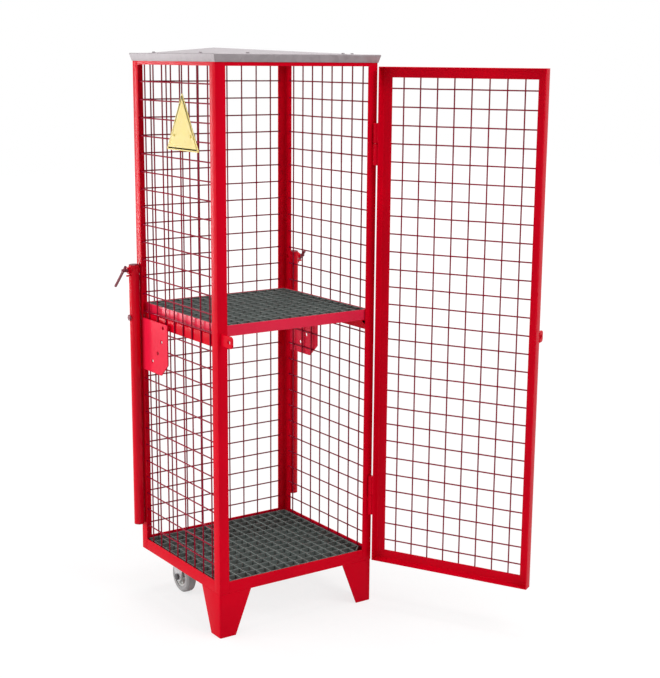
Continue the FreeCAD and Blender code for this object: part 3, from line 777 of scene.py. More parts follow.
def drilled(made, start, end, radius):
    # Cuts a round hole through a finished piece.
    bm = bmesh.new()
    rod(bm, start, end, radius, edge=DRILL_EDGE)
    mesh = to_mesh(bm, "drill")
    drill = put("drill", mesh)
    cut = made.modifiers.new("holes", "BOOLEAN")
    cut.operation = "DIFFERENCE"
    cut.solver = "EXACT"
    cut.object = drill
    bpy.context.view_layer.update()
    result = bpy.data.meshes.new_from_object(made.evaluated_get(bpy.context.evaluated_depsgraph_get()))
    if len(result.vertices) < len(made.data.vertices):
        raise RuntimeError("the hole of " + made.name + " was not cut")
    made.modifiers.remove(cut)
    old = made.data
    made.data = result
    bpy.data.meshes.remove(old)
    result.name = made.name
    bpy.data.objects.remove(drill)
    bpy.data.meshes.remove(mesh)


# Frame

def frame_post(name):
    low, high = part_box(name)
    sx, heel_x = outward(low, high, 0)
    sy, heel_y = outward(low, high, 1)
    bm = bmesh.new()
    place = lambda u, v, w: Vector((heel_x - sx * u, heel_y - sy * v, w))
    angle(bm, high.x - low.x, high.y - low.y, LEG_WALL, place, low.z, high.z)
    return piece(bm, name + "_angle", name, "red")


def rear_post(side, sx):
    # The index pin of the parked handle rests in a hole through the post's side leg.
    post = frame_post("post_rear_" + side)
    face = outward(*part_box("post_rear_" + side), 0)[1]
    pivot = handle_pivot(side)
    spot = (pivot.y, pivot.z + INDEX_RADIUS)
    drilled(post, (face - sx * DRILL_IN, *spot), (face + sx * DRILL_OUT, *spot), INDEX_HOLE)


def frame_rail(name, leg_at_top):
    # Side rails run along Y and the others along X; the flat leg lies at the top or the bottom.
    low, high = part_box(name)
    size = high - low
    run, across = (0, 1) if size.x > size.y else (1, 0)
    heel_z, up = (high.z, -1) if leg_at_top else (low.z, 1)
    face = on_face(across, *outward(low, high, across))
    place = lambda u, v, w: face(w, heel_z + up * u, v)
    trim = lambda p: max(0.0, p.y - POST_LEG)
    start = lambda p: low[run] + trim(p)
    end = lambda p: high[run] - trim(p)
    bm = bmesh.new()
    angle(bm, size.z, size[across], LEG_WALL, place, start, end)
    piece(bm, name + "_angle", name, "red")


class CABINET_OT_frame(bpy.types.Operator):
    """Builds the posts, rails and castor bar as rolled angles and flat bar"""

    bl_idname = "cabinet.frame"
    bl_label = "Frame"

    def execute(self, context):
        for side, _ in SIDES:
            frame_post("post_front_" + side)
        for side, sx in SIDES:
            rear_post(side, sx)
        for side in ("front", "rear", "left", "right"):
            frame_rail("base_rail_" + side, False)
            frame_rail("top_rail_" + side, True)
        bm = bmesh.new()
        box_bar(bm, *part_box("castor_bar"))
        piece(bm, "castor_bar_flat", "castor_bar", "red")
        return {"FINISHED"}


# Wire mesh

def one_wire(bm, start, end, across, draw):
    # A wire that strays a little to both sides, with its cut ends drawn in.
    radius = sizes().wire / 2
    way = end - start
    strays = [draw.uniform(-1, 1) * sizes().wave for _ in range(WIRE_STEPS + 1)]
    section = disc(along((0, 0, 0), way), radius, 0, WIRE_SIDES)
    levels = []
    for k, stray in enumerate(strays):
        centre = start + way * (k / WIRE_STEPS) + across * stray
        levels.append([centre + p for p in section])
    tip = way.normalized() * (radius * TIP_LENGTH)
    caps = []
    for level, sign in ((levels[0], -1), (levels[-1], 1)):
        centre = sum(level, Vector()) / WIRE_SIDES
        caps.append([centre + (p - centre) * TIP_WIDTH + tip * sign for p in level])
    loft(bm, [caps[0], *levels, caps[1]])


def wire_panel(bm, place, columns, rows, low, high, seed):
    # Rows lie against the frame, columns behind them; a nugget of weld sits at each crossing.
    radius = sizes().wire / 2
    draw = random.Random(seed)
    back = sizes().wire * COLUMN_DEPTH
    tip = radius * TIP_LENGTH
    up = place(0, 1, 0) - place(0, 0, 0)
    along_rows = place(1, 0, 0) - place(0, 0, 0)
    for row in rows:
        one_wire(bm, place(low + tip, row, radius), place(high - tip, row, radius), up, draw)
    bottom, top = rows[0] - radius + tip, rows[-1] + radius - tip
    for column in columns:
        one_wire(bm, place(column, bottom, back), place(column, top, back), along_rows, draw)
    for row in rows:
        for column in columns:
            made = bmesh.ops.create_icosphere(bm, subdivisions=1, radius=radius * NUGGET)
            bmesh.ops.translate(bm, verts=made["verts"], vec=place(column, row, (radius + back) / 2))


def mesh_rows(low, high):
    count = round((high - low - sizes().wire) / MESH_PITCH)
    return [low + sizes().wire / 2 + MESH_PITCH * i for i in range(count + 1)]


def mesh_columns(low, high, shift):
    # The columns stand at the pitch about the middle, and shift moves them together.
    middle = (low + high) / 2
    count = int((high - low) / MESH_PITCH)
    return [middle + shift + MESH_PITCH * (i - (count - 1) / 2) for i in range(count)]


class CABINET_OT_walls(bpy.types.Operator):
    """Builds the welded wire mesh walls"""

    bl_idname = "cabinet.walls"
    bl_label = "Mesh walls"

    def execute(self, context):
        walls = (("mesh_left", 1, 0, 0.0), ("mesh_right", 1, 0, 0.0), ("mesh_rear", 0, 1, REAR_SHIFT))
        for seed, (name, run, across, shift) in enumerate(walls):
            low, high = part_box(name)
            columns = mesh_columns(low[run], high[run], shift)
            place = on_face(across, *outward(low, high, across))
            bm = bmesh.new()
            wire_panel(bm, place, columns, mesh_rows(low.z, high.z), low[run], high[run], seed)
            piece(bm, name + "_wires", name, "wire")
        return {"FINISHED"}


# Gratings and shelf

def build_grating(node, cut, body):
    # Bearing bars along Y at full depth, cross bars flush with their tops, a rim all round.
    low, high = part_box(node)
    bm = bmesh.new()
    count_x, count_y = (round((high[i] - low[i] - GRATE_WALL) / GRATE_PITCH) for i in (0, 1))
    for i in range(count_x + 1):
        x = low.x + (high.x - low.x - GRATE_WALL) / count_x * i
        start = low.y + max(0.0, cut - min(x - low.x, high.x - x - GRATE_WALL))
        box_bar(bm, (x, start, low.z), (x + GRATE_WALL, high.y, high.z), GRATE_EDGE)
    for j in range(count_y + 1):
        y = low.y + (high.y - low.y - GRATE_WALL) / count_y * j
        trim = max(0.0, cut - (y - low.y))
        depth, drop = (sizes().cross_bar, CROSS_BAR_DROP) if 0 < j < count_y else (high.z - low.z, 0.0)
        ends = (low.x + trim, y, high.z - depth), (high.x - trim, y + GRATE_WALL, high.z - drop)
        box_bar(bm, *ends, GRATE_EDGE)
    if cut > 0:
        # The front corners are cut off at 45 degrees round the posts
        reach = cut + CORNER_STRIP
        strip = ((0, cut), (cut, 0), (reach, 0), (0, reach))
        for corners in (
            [Vector((low.x + u, low.y + v)) for u, v in strip],
            [Vector((high.x - u, low.y + v)) for u, v in reversed(strip)],
        ):
            sweep(bm, corners, plain, low.z, high.z, GRATE_EDGE)
    piece(bm, node + "_bars", node, "grating", body)


def build_shelf_frame():
    low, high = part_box("shelf_frame")
    bm = bmesh.new()
    for side, corner in ((-1, low), (1, high)):
        for run, across in ((0, 1), (1, 0)):
            face = on_face(across, side, corner[across])
            place = lambda u, v, w: face(w, low.z + u, v)
            start = lambda p: low[run] + p.y
            end = lambda p: high[run] - p.y
            angle(bm, high.z - low.z, SHELF_LEDGE, SHELF_WALL, place, start, end)
    piece(bm, "shelf_frame_angles", "shelf_frame", "shelf", "shelf")


def build_bearer(node):
    low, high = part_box(node)
    sx, heel = outward(low, high, 0)
    face = on_face(0, sx, heel)
    place = lambda u, v, w: face(w, high.z - u, v)
    bm = bmesh.new()
    angle(bm, high.z - low.z, high.x - low.x, SHELF_WALL, place, low.y, high.y)
    root = heel - sx * SHELF_WALL
    ends = (low.z + BEARER_WELD_LOW, high.z - BEARER_WELD_HIGH)
    bead(bm, [(root, low.y, z) for z in ends], share=1.0, seed=3)
    piece(bm, node + "_angle", node, "red")


class CABINET_OT_shelf(bpy.types.Operator):
    """Builds the floor grating, the shelf and the bearers that carry it"""

    bl_idname = "cabinet.shelf"
    bl_label = "Floor and shelf"

    def execute(self, context):
        build_grating("floor_grating", FLOOR_CORNER, "cabinet")
        build_grating("shelf_grating", 0.0, "shelf")
        build_shelf_frame()
        for side, _ in SIDES:
            build_bearer("shelf_bearer_" + side)
        return {"FINISHED"}


# Feet

def build_foot(node):
    # A folded angle that tapers to the floor.
    low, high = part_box(node)
    sx, heel = outward(low, high, 0)
    edge = sizes().edge

    def level(width, z, shrink):
        loop = rounded(angle_corners(width, width, LEG_WALL), FOOT_ROUNDS)
        loop = inset(loop, edge) if shrink else loop
        return [Vector((heel - sx * p.x, low.y + p.y, z)) for p in loop]

    wide = high.x - low.x
    narrow = wide * FOOT_NARROW
    step = (wide - narrow) / (high.z - low.z) * edge
    levels = [
        level(narrow, low.z, True),
        level(narrow + step, low.z + edge, False),
        level(wide - step, high.z - edge, False),
        level(wide, high.z, True),
    ]
    bm = bmesh.new()
    loft(bm, levels)
    piece(bm, node + "_folded", node, "red")


class CABINET_OT_feet(bpy.types.Operator):
    """Builds the folded front feet"""

    bl_idname = "cabinet.feet"
    bl_label = "Feet"

    def execute(self, context):
        for side, _ in SIDES:
            build_foot("foot_" + side)
        return {"FINISHED"}


# Castors

def castor_places(side):
    # The wheel's centre, half the gap between the fork's legs, and the underside of its plate.
    low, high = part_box("wheel_hub_" + side)
    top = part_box("castor_fork_" + side)[1].z - FORK_WALL
    return (low + high) / 2, (high.x - low.x) / 2 + FORK_PLAY, top


def build_fork(side):
    node = "castor_fork_" + side
    low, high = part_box(node)
    centre, gap, top = castor_places(side)
    bm = bmesh.new()
    outline = rounded(rectangle(low.x, low.y, high.x, high.y), [FORK_CORNER] * 4, steps=6)
    plate(bm, outline, lambda u, v, w: Vector((u, v, top + w)), FORK_WALL)
    # The crown: a channel under the plate from which both legs run down
    half = gap + FORK_WALL
    channel = [
        (-half, -CROWN_DEPTH), (-gap, -CROWN_DEPTH), (-gap, -FORK_WALL), (gap, -FORK_WALL),
        (gap, -CROWN_DEPTH), (half, -CROWN_DEPTH), (half, 0), (-half, 0),
    ]
    bends = [0, 0, CROWN_INNER, CROWN_INNER, 0, 0, CROWN_OUTER, CROWN_OUTER]
    place = lambda u, v, w: Vector((centre.x + u, w, top + v))
    sweep(bm, rounded(channel, bends, steps=4), place, centre.y - CROWN_HALF, centre.y + CROWN_HALF)
    corners = [
        (centre.y - FORK_LEG_HALF, top - FORK_LEG_TOP), (centre.y - FORK_EYE, centre.z - FORK_EYE),
        (centre.y + FORK_EYE, centre.z - FORK_EYE), (centre.y + FORK_LEG_HALF, top - FORK_LEG_TOP),
    ]
    leg = rounded(corners, [FORK_LEG_ROUND, FORK_EYE_ROUND, FORK_EYE_ROUND, FORK_LEG_ROUND], steps=8)
    for x in (centre.x - half, centre.x + gap):
        plate(bm, leg, on_face(0, -1, x), FORK_WALL, [hole((centre.y, centre.z), AXLE_R)])
    piece(bm, node + "_pressed", node, "zinc")


def wheel_section(half, crown, steps):
    # The whole section of a wheel from one half of it and what lies on its middle.
    points = [(r, -w, k) for r, w, k in half] + list(crown) + [(r, w, k) for r, w, k in reversed(half)]
    return rounded([p[:2] for p in points], [p[2] for p in points], steps)


def build_wheel(side):
    centre = castor_places(side)[0]
    place = along(centre, (1, 0, 0))
    bm = bmesh.new()
    lathe(bm, wheel_section(TYRE_HALF, TYRE_CROWN, steps=4), place, sides=72, closed=True)
    piece(bm, "wheel_tyre_" + side + "_rubber", "wheel_tyre_" + side, "tyre", "wheel_" + side)
    bm = bmesh.new()
    lathe(bm, wheel_section(HUB_HALF, (), steps=3), place, sides=60, closed=True)
    for turn in turns(RIBS):
        radial = Vector((0, math.cos(turn), math.sin(turn)))
        across = Vector((0, -math.sin(turn), math.cos(turn)))
        for face in (-1, 1):
            rib = lambda u, v, w: centre + across * u + Vector((face, 0, 0)) * v + radial * w
            sweep(bm, [Vector(p) for p in RIB_SECTION], rib, *RIB_REACH, FINE_EDGE)
    piece(bm, "wheel_hub_" + side + "_ribbed", "wheel_hub_" + side, "hub", "wheel_" + side)


def add_axle(bm, side, sx):
    centre, gap, _ = castor_places(side)
    outer = gap + FORK_WALL
    at = lambda x: (centre.x + sx * x, centre.y, centre.z)
    rod(bm, at(-outer - AXLE_SINK), at(outer + AXLE_TAIL), AXLE_R)
    hex_head(bm, at(-outer), at(-outer - AXLE_HEAD), AXLE_FLATS)
    hex_head(bm, at(outer), at(outer + AXLE_NUT), AXLE_FLATS)
    sleeve(bm, at(-gap), at(SPACER_WALL - gap), SPACER_R, AXLE_R)
    sleeve(bm, at(gap - SPACER_WALL), at(gap), SPACER_R, AXLE_R)


def add_mounting_bolts(bm, side):
    centre, _, face = castor_places(side)
    for dx in (-MOUNT_X, MOUNT_X):
        for dy in (-MOUNT_Y, MOUNT_Y):
            at = lambda z: (centre.x + dx, centre.y + dy, z)
            hex_head(bm, at(face), at(face - MOUNT_HEAD), MOUNT_FLATS)
            rod(bm, at(face - MOUNT_LAP), at(face + FORK_WALL + LEG_WALL), MOUNT_R, sides=24)


class CABINET_OT_castors(bpy.types.Operator):
    """Builds the castor forks, wheels, axles and mounting bolts"""

    bl_idname = "cabinet.castors"
    bl_label = "Castors"

    def execute(self, context):
        axles = bmesh.new()
        bolts = bmesh.new()
        for side, sx in SIDES:
            build_fork(side)
            build_wheel(side)
            add_axle(axles, side, sx)
            add_mounting_bolts(bolts, side)
        piece(axles, "castor_axle_bolts", "castor_axles", "axle")
        piece(bolts, "castor_mounting_bolts", "castor_bolts", "zinc")
        return {"FINISHED"}


# Roof

def build_roof(frame_top):
    low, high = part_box("roof_sheet")
    top = frame_top + ROOF_WALL
    # Distances inwards from the eave, and heights: down the inside, then up the outside
    path = [
        (ROOF_BORDER, frame_top), (ROOF_WALL, frame_top), (ROOF_LEAN + ROOF_WALL, low.z),
        (ROOF_LEAN, low.z), (0.0, top), (ROOF_BORDER, top),
    ]
    bm = bmesh.new()
    rings = []
    for depth, z in rounded(path, ROOF_BENDS):
        x, y = high.x - depth, high.y - depth
        outline = rounded(rectangle(-x, -y, x, y), [ROOF_CORNER] * 4, steps=4)
        rings.append(ring(bm, [(p.x, p.y, z) for p in outline]))
    bridge(bm, rings)
    for rim, height in ((rings[-1], high.z), (rings[0], high.z - ROOF_WALL)):
        apex = bm.verts.new((*ROOF_APEX, height))
        for one, two in zip(rim, rim[1:] + rim[:1]):
            bm.faces.new((one, two, apex))
    made = piece(bm, "roof_sheet_folded", "roof_sheet", "sheet", sharp=ROOF_SHARP)
    # The flat parts meet in creases along the hips and round the border
    for face in made.data.polygons:
        face.use_smooth = abs(face.normal.z) < ROOF_FLAT


def build_roof_screws(top):
    low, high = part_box("roof_screws")
    places = (high.x - SCREW_HALF[0], SCREW_PLACE[1]), (SCREW_PLACE[0], high.y - SCREW_HALF[1])
    bm = bmesh.new()
    for sx in (-1, 1):
        for sy in (-1, 1):
            for x, y in places:
                at = lambda z: (x * sx, y * sy, z)
                sleeve(bm, at(top), at(top + WASHER_WALL), WASHER_R, WASHER_BORE, sides=32, edge=FINE_EDGE)
                hex_head(bm, at(top + SCREW_HEAD_AT), at(high.z), SCREW_FLATS)
                rod(bm, at(low.z), at(top + SCREW_LAP), SCREW_R, sides=20)
    piece(bm, "roof_hex_screws", "roof_screws", "sheet")


class CABINET_OT_roof(bpy.types.Operator):
    """Builds the folded roof sheet and its screws"""

    bl_idname = "cabinet.roof"
    bl_label = "Roof"

    def execute(self, context):
        frame_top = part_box("post_front_left")[1].z
        build_roof(frame_top)
        build_roof_screws(frame_top + ROOF_WALL)
        return {"FINISHED"}


# Push handles

def handle_pivot(side):
    return Vector(JOINTS["handle_" + side + "_swing"]["pos_m"])


def build_quadrant(side, sx):
    node = "quadrant_plate_" + side
    low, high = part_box(node)
    face = outward(low, high, 0)[1]
    pivot = handle_pivot(side)
    cut_y, cut_z = PLATE_CHAMFER
    corners = [
        (low.y, low.z + cut_z), (low.y + cut_y, low.z), (high.y, low.z), (high.y, high.z), (low.y, high.z)
    ]
    holes = []
    for turn in (math.radians(a) for a in INDEX_ANGLES):
        spot = (pivot.y - INDEX_RADIUS * math.cos(turn), pivot.z - INDEX_RADIUS * math.sin(turn))
        holes.append(hole(spot, INDEX_HOLE))
    bm = bmesh.new()
    plate(bm, rounded(corners, PLATE_ROUNDS), on_face(0, sx, face), LEG_WALL, holes)
    upright_bead(bm, face - sx * PLATE_WELD_IN, high.y, low.z, high.z, share=0.8, seed=5)
    piece(bm, node + "_cut", node, "plate")


def build_handle(side, sx):
    low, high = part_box("handle_tube_" + side)
    pivot = handle_pivot(side)
    pin_z = pivot.z + INDEX_RADIUS
    at = lambda out, z: (pivot.x + sx * out, pivot.y, z)
    tube, bushes, plugs = (bmesh.new() for _ in range(3))
    sleeve(tube, at(0, low.z), at(0, high.z), TUBE_R, TUBE_BORE, sides=48, edge=TUBE_EDGE)
    peg = [(pivot.x + sx * out, pivot.y - PEG_BACK, pin_z - PEG_DROP) for out in PEG_SPAN]
    rod(tube, *peg, PEG_R, sides=20, edge=PEG_EDGE)
    for z, radius, out in ((pin_z, GUIDE_R, GUIDE_OUT), (pivot.z, BUSH_R, 0.0)):
        sleeve(bushes, at(-TUBE_R, z), at(TUBE_R + out, z), radius, BUSH_BORE)
        # A seam of weld round the bush follows the tube's outside
        seam = []
        for turn in turns(SEAM_STEPS) + [math.tau]:
            y = (radius + SEAM_OUT) * math.cos(turn)
            x = math.sqrt(TUBE_R ** 2 - y * y)
            seam.append((pivot.x + sx * x, pivot.y + y, z + (radius + SEAM_OUT) * math.sin(turn)))
        bead(tube, seam, share=0.7, seed=7)
    for z, way in ((low.z, -1), (high.z, 1)):
        lathe(plugs, PLUG, along(at(0, z), (0, 0, way)))
    body = "handle_" + side
    piece(tube, "handle_tube_" + side + "_round", "handle_tube_" + side, "tube", body)
    piece(bushes, "handle_bushes_" + side + "_turned", "handle_bushes_" + side, "red", body)
    piece(plugs, "handle_plugs_" + side + "_domed", "handle_plugs_" + side, "lacquer", body)


def build_pin(side, sx):
    low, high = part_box("index_pin_" + side)
    pivot = handle_pivot(side)
    pin_z = pivot.z + INDEX_RADIUS
    length = high.x - low.x
    tip = low.x if sx > 0 else high.x
    profile = [*PIN_TIP, *((radius, length - back) for radius, back in PIN_END)]
    bm = bmesh.new()
    lathe(bm, profile, along((tip, pivot.y, pin_z), (sx, 0, 0)), sides=36)
    piece(bm, "index_pin_" + side + "_turned", "index_pin_" + side, "lacquer", "pin_" + side)
    low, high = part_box("tee_bar_" + side)
    slope = math.radians(TEE_SLOPE)
    way = Vector((0, math.cos(slope), -math.sin(slope)))
    centre = Vector(((low.x + high.x) / 2, pivot.y, pin_z))
    bm = bmesh.new()
    rod(bm, centre - way * TEE_SPAN[0], centre + way * TEE_SPAN[1], TEE_R, sides=28, edge=TEE_EDGE)
    piece(bm, "tee_bar_" + side + "_rod", "tee_bar_" + side, "lacquer", "pin_" + side)


class CABINET_OT_handles(bpy.types.Operator):
    """Builds the quadrant plates, push handles, pivots and index pins"""

    bl_idname = "cabinet.handles"
    bl_label = "Push handles"

    def execute(self, context):
        bolts = bmesh.new()
        nuts = bmesh.new()
        for side, sx in SIDES:
            build_quadrant(side, sx)
            build_handle(side, sx)
            build_pin(side, sx)
            pivot = handle_pivot(side)
            ends = lambda places: [(pivot.x + sx * out, pivot.y, pivot.z) for out in places]
            rod(bolts, *ends(PIVOT_SPAN), PIVOT_R, edge=PIVOT_EDGE)
            hex_head(bolts, *ends(PIVOT_HEAD), PIVOT_FLATS)
            hex_head(nuts, *ends(PIVOT_NUT), PIVOT_FLATS)
            sleeve(nuts, *ends(PIVOT_WASHER), PIVOT_WASHER_R, PIVOT_R, edge=FINE_EDGE)
        piece(bolts, "pivot_hex_bolts", "pivot_bolts", "lacquer")
        piece(nuts, "pivot_nuts_and_washers", "pivot_nuts", "lacquer")
        return {"FINISHED"}


# Door and its hinges, drawn shut and turned to where the door stands

def door_places():
    # The hinge pin, the edge of the hinge stile, and the turn from shut to where the door stands.
    joint = JOINTS["door_hinge"]
    pin = Vector(joint["pos_m"])
    move = Matrix.Translation(pin)
    turn = move @ Matrix.Rotation(math.radians(-joint["range_deg"][0]), 4, "Z") @ move.inverted()
    return pin, pin.x - DOOR_EDGE_GAP, turn


def build_door_frame():
    # Stiles and rails are mitred, and their seams are dressed flush.
    _, edge, turn = door_places()
    low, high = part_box("door_stile_hinge")
    stile = lambda x, way: lambda u, v, w: Vector((x + way * u, DOOR_FACE + v, w))
    rail = lambda z, way: lambda u, v, w: Vector((w, DOOR_FACE + v, z + way * u))
    bars = (
        ("door_stile_hinge", stile(edge, -1), low.z, high.z),
        ("door_stile_free", stile(DOOR_FREE, 1), low.z, high.z),
        ("door_rail_top", rail(high.z, -1), DOOR_FREE, edge),
        ("door_rail_bottom", rail(low.z, 1), DOOR_FREE, edge),
    )
    for node, place, start, end in bars:
        bm = bmesh.new()
        mitre = lambda p: start + p.x, lambda p: end - p.x
        angle(bm, DOOR_LEG, DOOR_LEG, DOOR_WALL, place, *mitre, DOOR_TOE, DOOR_SEAM)
        piece(bm, node + "_angle", node, "red", "door", turn)


def build_door_mesh():
    _, edge, turn = door_places()
    low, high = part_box("door_mesh")
    first = edge - DOOR_FIRST_WIRE
    count = int((first - DOOR_FREE - DOOR_LEG) / MESH_PITCH)
    columns = [first - MESH_PITCH * i for i in range(count, -1, -1)]
    ends = DOOR_FREE + DOOR_WIRE_INSET, edge - DOOR_WIRE_INSET
    bm = bmesh.new()
    wire_panel(bm, on_face(1, 1, DOOR_FACE), columns, mesh_rows(low.z, high.z), *ends, seed=9)
    piece(bm, "door_mesh_wires", "door_mesh", "wire", "door", turn)


def build_lug(node, x, rear, welds, seed, body, turn=None):
    # Both lugs have the post lug's height, nose and eye. Each is welded on along its rear edge.
    low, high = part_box("post_lug")
    outline = rounded(rectangle(low.y, low.z, rear, high.z), [LUG_NOSE, 0, 0, LUG_NOSE], steps=6)
    bm = bmesh.new()
    plate(bm, outline, on_face(0, -1, x), LUG_WALL, [hole(LUG_EYE, LUG_EYE_R, sides=32)], LUG_EDGE)
    for weld in welds:
        upright_bead(bm, weld, rear - LUG_WELD_IN, low.z, high.z, share=1.0, seed=seed)
    piece(bm, node + "_plate", node, "red", body, turn)


def add_barrel(bm, pin, low, high, bore_up):
    # A turned barrel, bored at the end where the hinge parts.
    length = high - low
    profile = [
        (0, 0), (BARREL_R - BARREL_EDGE, 0), (BARREL_R, BARREL_EDGE), (BARREL_R, length - BARREL_EDGE),
        (BARREL_R - BARREL_EDGE, length), (BARREL_BORE, length),
        (BARREL_BORE, length - BARREL_BORE_DEPTH), (0, length - BARREL_BORE_DEPTH),
    ]
    if not bore_up:
        profile = [(radius, length - height) for radius, height in reversed(profile)]
    lathe(bm, profile, along((pin.x, pin.y, low), (0, 0, 1)), sides=36)


def add_pad(bm, pad_low, pad_high, welds, low, high):
    # The pad that joins a barrel to the post or the stile, with a bead on either side.
    box_bar(bm, (*pad_low, low + PAD_END), (*pad_high, high - PAD_END))
    for x, y in welds:
        upright_bead(bm, x, y, low, high, share=0.85, seed=11)


def build_hinges():
    pin, edge, turn = door_places()
    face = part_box("post_front_right")[0].y
    low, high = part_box("hinge_pins")
    fixed, moving, pins, washers = (bmesh.new() for _ in range(4))
    post_welds = [(pin.x + side * PAD_WELD, face - PAD_WELD_IN) for side in (-1, 1)]
    door_welds = [(edge + PAD_WELD_IN, pin.y + side * PAD_WELD) for side in (-1, 1)]
    for z in (low.z + HINGE_PIN_HALF, high.z - HINGE_PIN_HALF):
        at = lambda height: (pin.x, pin.y, z + height)
        below = z - BARREL_REACH, z
        above = z + BARREL_GAP, z + BARREL_REACH
        add_barrel(fixed, pin, *below, True)
        add_pad(fixed, (pin.x - PAD_HALF, pin.y), (pin.x + PAD_HALF, face), post_welds, *below)
        add_barrel(moving, pin, *above, False)
        add_pad(moving, (edge, pin.y - PAD_HALF), (pin.x, pin.y + PAD_HALF), door_welds, *above)
        rod(pins, at(HINGE_PIN_SPAN[0]), at(HINGE_PIN_SPAN[1]), HINGE_PIN_R)
        sleeve(washers, at(0), at(HINGE_WASHER), BARREL_R, HINGE_PIN_R, sides=36, edge=FINE_EDGE)
    piece(fixed, "hinge_post_barrels_turned", "hinge_post_barrels", "red")
    piece(moving, "hinge_door_barrels_turned", "hinge_door_barrels", "red", "door", turn)
    piece(pins, "hinge_pins_turned", "hinge_pins", "zinc")
    piece(washers, "hinge_washers_turned", "hinge_washers", "red")


class CABINET_OT_door(bpy.types.Operator):
    """Builds the door's angles, mesh and lug, and the hinges"""

    bl_idname = "cabinet.door"
    bl_label = "Door and hinges"

    def execute(self, context):
        build_door_frame()
        build_door_mesh()
        low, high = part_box("post_lug")
        build_lug("post_lug", low.x, high.y, (low.x, high.x), seed=13, body="cabinet")
        welds = DOOR_FREE + LUG_WELD_SIDE, DOOR_FREE + LUG_WALL
        turn = door_places()[2]
        build_lug("door_lug", DOOR_FREE, DOOR_FACE, welds, seed=17, body="door", turn=turn)
        build_hinges()
        return {"FINISHED"}


# Sign plate

class CABINET_OT_sign(bpy.types.Operator):
    """Builds the bare sign plate with its backing bar and screws"""

    bl_idname = "cabinet.sign"
    bl_label = "Sign plate"

    def execute(self, context):
        low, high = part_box("sign_plate")
        middle = (low.y + high.y) / 2
        half = SIGN_SIDE / 2
        corners = [(middle - half, low.z), (middle + half, low.z), (middle, low.z + half * math.sqrt(3))]
        outline = rounded(corners, [SIGN_ROUND] * 3, steps=6)
        bm = bmesh.new()
        plate(bm, outline, on_face(0, 1, high.x), high.x - low.x, edge=FINE_EDGE)
        # A pressed rim just inside the edge
        rim_hole = inset(outline, RIM_IN)[::-1]
        plate(bm, inset(outline, RIM_OUT), on_face(0, 1, low.x + RIM_SINK), RIM_WALL, [rim_hole], RIM_EDGE)
        piece(bm, "sign_plate_enamelled", "sign_plate", "sign")

        bar_low, bar_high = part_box("sign_fixings")
        bm = bmesh.new()
        box_bar(bm, (bar_high.x - SIGN_BAR_WALL, bar_low.y, bar_low.z), bar_high)
        piece(bm, "sign_backing_bar", "sign_fixings", "zinc")
        bm = bmesh.new()
        z = (bar_low.z + bar_high.z) / 2
        for y in (middle - SIGN_SCREW_Y, middle + SIGN_SCREW_Y):
            lathe(bm, SIGN_DOME, along((low.x, y, z), (-1, 0, 0)), sides=28)
            rod(bm, (low.x, y, z), (bar_high.x - SIGN_SCREW_SHY, y, z), SIGN_SCREW_R, sides=20)
        piece(bm, "sign_screws_enamelled", "sign_fixings", "sign")
        return {"FINISHED"}


# Stage

def seen_directly(tree):
    # 1 for rays from the camera, from gloss or through glass, 0 for the light on the object.
    path = add(tree, "LightPath")
    most = path.outputs["Is Camera Ray"]
    for name in ("Is Glossy Ray", "Is Transmission Ray"):
        step = add(tree, "Math", operation="MAXIMUM")
        tree.links.new(most, step.inputs[0])
        tree.links.new(path.outputs[name], step.inputs[1])
        most = step.outputs[0]
    return most


def mix_shaders(tree, factor, one, two):
    made = add(tree, "MixShader")
    for socket, source in zip(made.inputs, (factor, one.outputs[0], two.outputs[0])):
        tree.links.new(source, socket)
    return made.outputs[0]


def build_world(ambient):
    # The camera sees white, and the object gets a softer light from all round.
    world = bpy.data.worlds.new("studio")
    tree = empty_tree(world)
    soft = add(tree, "Background", Color=WHITE, Strength=ambient)
    white = add(tree, "Background", Color=WHITE, Strength=1.0)
    add(tree, "OutputWorld", Surface=mix_shaders(tree, seen_directly(tree), soft, white))
    return world


def build_floor():
    mesh = bpy.data.meshes.new("floor")
    corners = rectangle(-FLOOR_REACH, -FLOOR_REACH, FLOOR_REACH, FLOOR_REACH)
    mesh.from_pydata([p.to_3d() for p in corners], [], [(0, 1, 2, 3)])
    paper = bpy.data.materials.new("floor_paper")
    tree = empty_tree(paper)
    matt = add(tree, "BsdfDiffuse", Color=FLOOR_GREY)
    glow = add(tree, "Emission", Color=WHITE, Strength=FLOOR_GLOW)
    # The paper goes white away from the cabinet and keeps the shadow near it
    away = add(tree, "VectorMath", operation="LENGTH", Vector=add(tree, "TexCoord").outputs["Object"])
    keep = add(tree, "Math", operation="MULTIPLY")
    tree.links.new(seen_directly(tree), keep.inputs[0])
    tree.links.new(span(tree, away.outputs["Value"], *SHADOW_SHARE, *SHADOW_REACH), keep.inputs[1])
    add(tree, "OutputMaterial", Surface=mix_shaders(tree, keep.outputs[0], matt, glow))
    mesh.materials.append(paper)
    floor = put("floor", mesh)


def area_light(name, place, target, size, power):
    data = bpy.data.lights.new(name, "AREA")
    data.shape = "RECTANGLE"
    data.size, data.size_y = size
    data.energy = power
    made = put(name, data)
    made.location = place
    made.rotation_euler = (Vector(target) - Vector(place)).to_track_quat("-Z", "Y").to_euler()


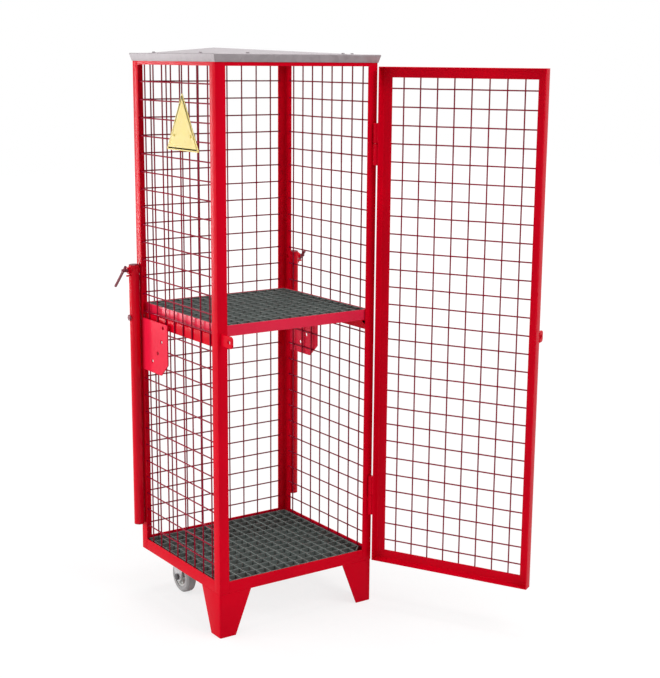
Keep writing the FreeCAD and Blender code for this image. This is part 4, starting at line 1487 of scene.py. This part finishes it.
def build_camera():
    data = bpy.data.cameras.new("view")
    data.sensor_fit = "HORIZONTAL"
    data.sensor_width = VIEW_SENSOR
    data.lens = VIEW_LENS
    data.shift_y = VIEW_SHIFT
    data.clip_end = VIEW_END
    yaw = Matrix.Rotation(-math.radians(VIEW_YAW), 4, "Z")
    pitch = Matrix.Rotation(math.pi / 2 - math.radians(VIEW_PITCH), 4, "X")
    roll = Matrix.Rotation(math.radians(VIEW_ROLL), 4, "Z")
    made = put("view", data)
    made.matrix_world = Matrix.Translation(VIEW_PLACE) @ yaw @ pitch @ roll
    return made


class CABINET_OT_stage(bpy.types.Operator):
    """Sets the floor, the light and the camera"""

    bl_idname = "cabinet.stage"
    bl_label = "Stage"

    def execute(self, context):
        scene = context.scene
        values = scene.cabinet_stage
        scene.view_settings.view_transform = "Standard"
        scene.world = build_world(values.ambient)
        build_floor()
        for name, (place, target, size) in LIGHTS.items():
            area_light(name, place, target, size, getattr(values, name))
        scene.camera = build_camera()
        return {"FINISHED"}


# Registration

STEPS = (
    CABINET_OT_frame,
    CABINET_OT_walls,
    CABINET_OT_shelf,
    CABINET_OT_feet,
    CABINET_OT_castors,
    CABINET_OT_roof,
    CABINET_OT_handles,
    CABINET_OT_door,
    CABINET_OT_sign,
    CABINET_OT_stage,
)


class CABINET_PT_sidebar(bpy.types.Panel):
    """Lists the cabinet's steps, sizes and colours"""

    bl_label = "Gas cylinder cabinet"
    bl_idname = "CABINET_PT_sidebar"
    bl_space_type = "VIEW_3D"
    bl_region_type = "UI"
    bl_category = "Cabinet"

    def draw(self, context):
        column = self.layout.column()
        for step in STEPS:
            column.operator(step.bl_idname)
        for name, group in GROUPS.items():
            for key in group.__annotations__:
                column.prop(getattr(context.scene, name), key)


GROUPS = {"cabinet_sizes": CabinetSizes, "cabinet_colours": CabinetColours, "cabinet_stage": CabinetStage}
CLASSES = (*GROUPS.values(), *STEPS, CABINET_PT_sidebar)


def register():
    for made in CLASSES:
        bpy.utils.register_class(made)
    for name, group in GROUPS.items():
        setattr(bpy.types.Scene, name, PointerProperty(type=group))


def unregister():
    for name in GROUPS:
        delattr(bpy.types.Scene, name)
    for made in reversed(CLASSES):
        bpy.utils.unregister_class(made)


def main():
    register()
    for step in STEPS:
        group, name = step.bl_idname.split(".")
        getattr(getattr(bpy.ops, group), name)()


if __name__ == "__main__":
    main()
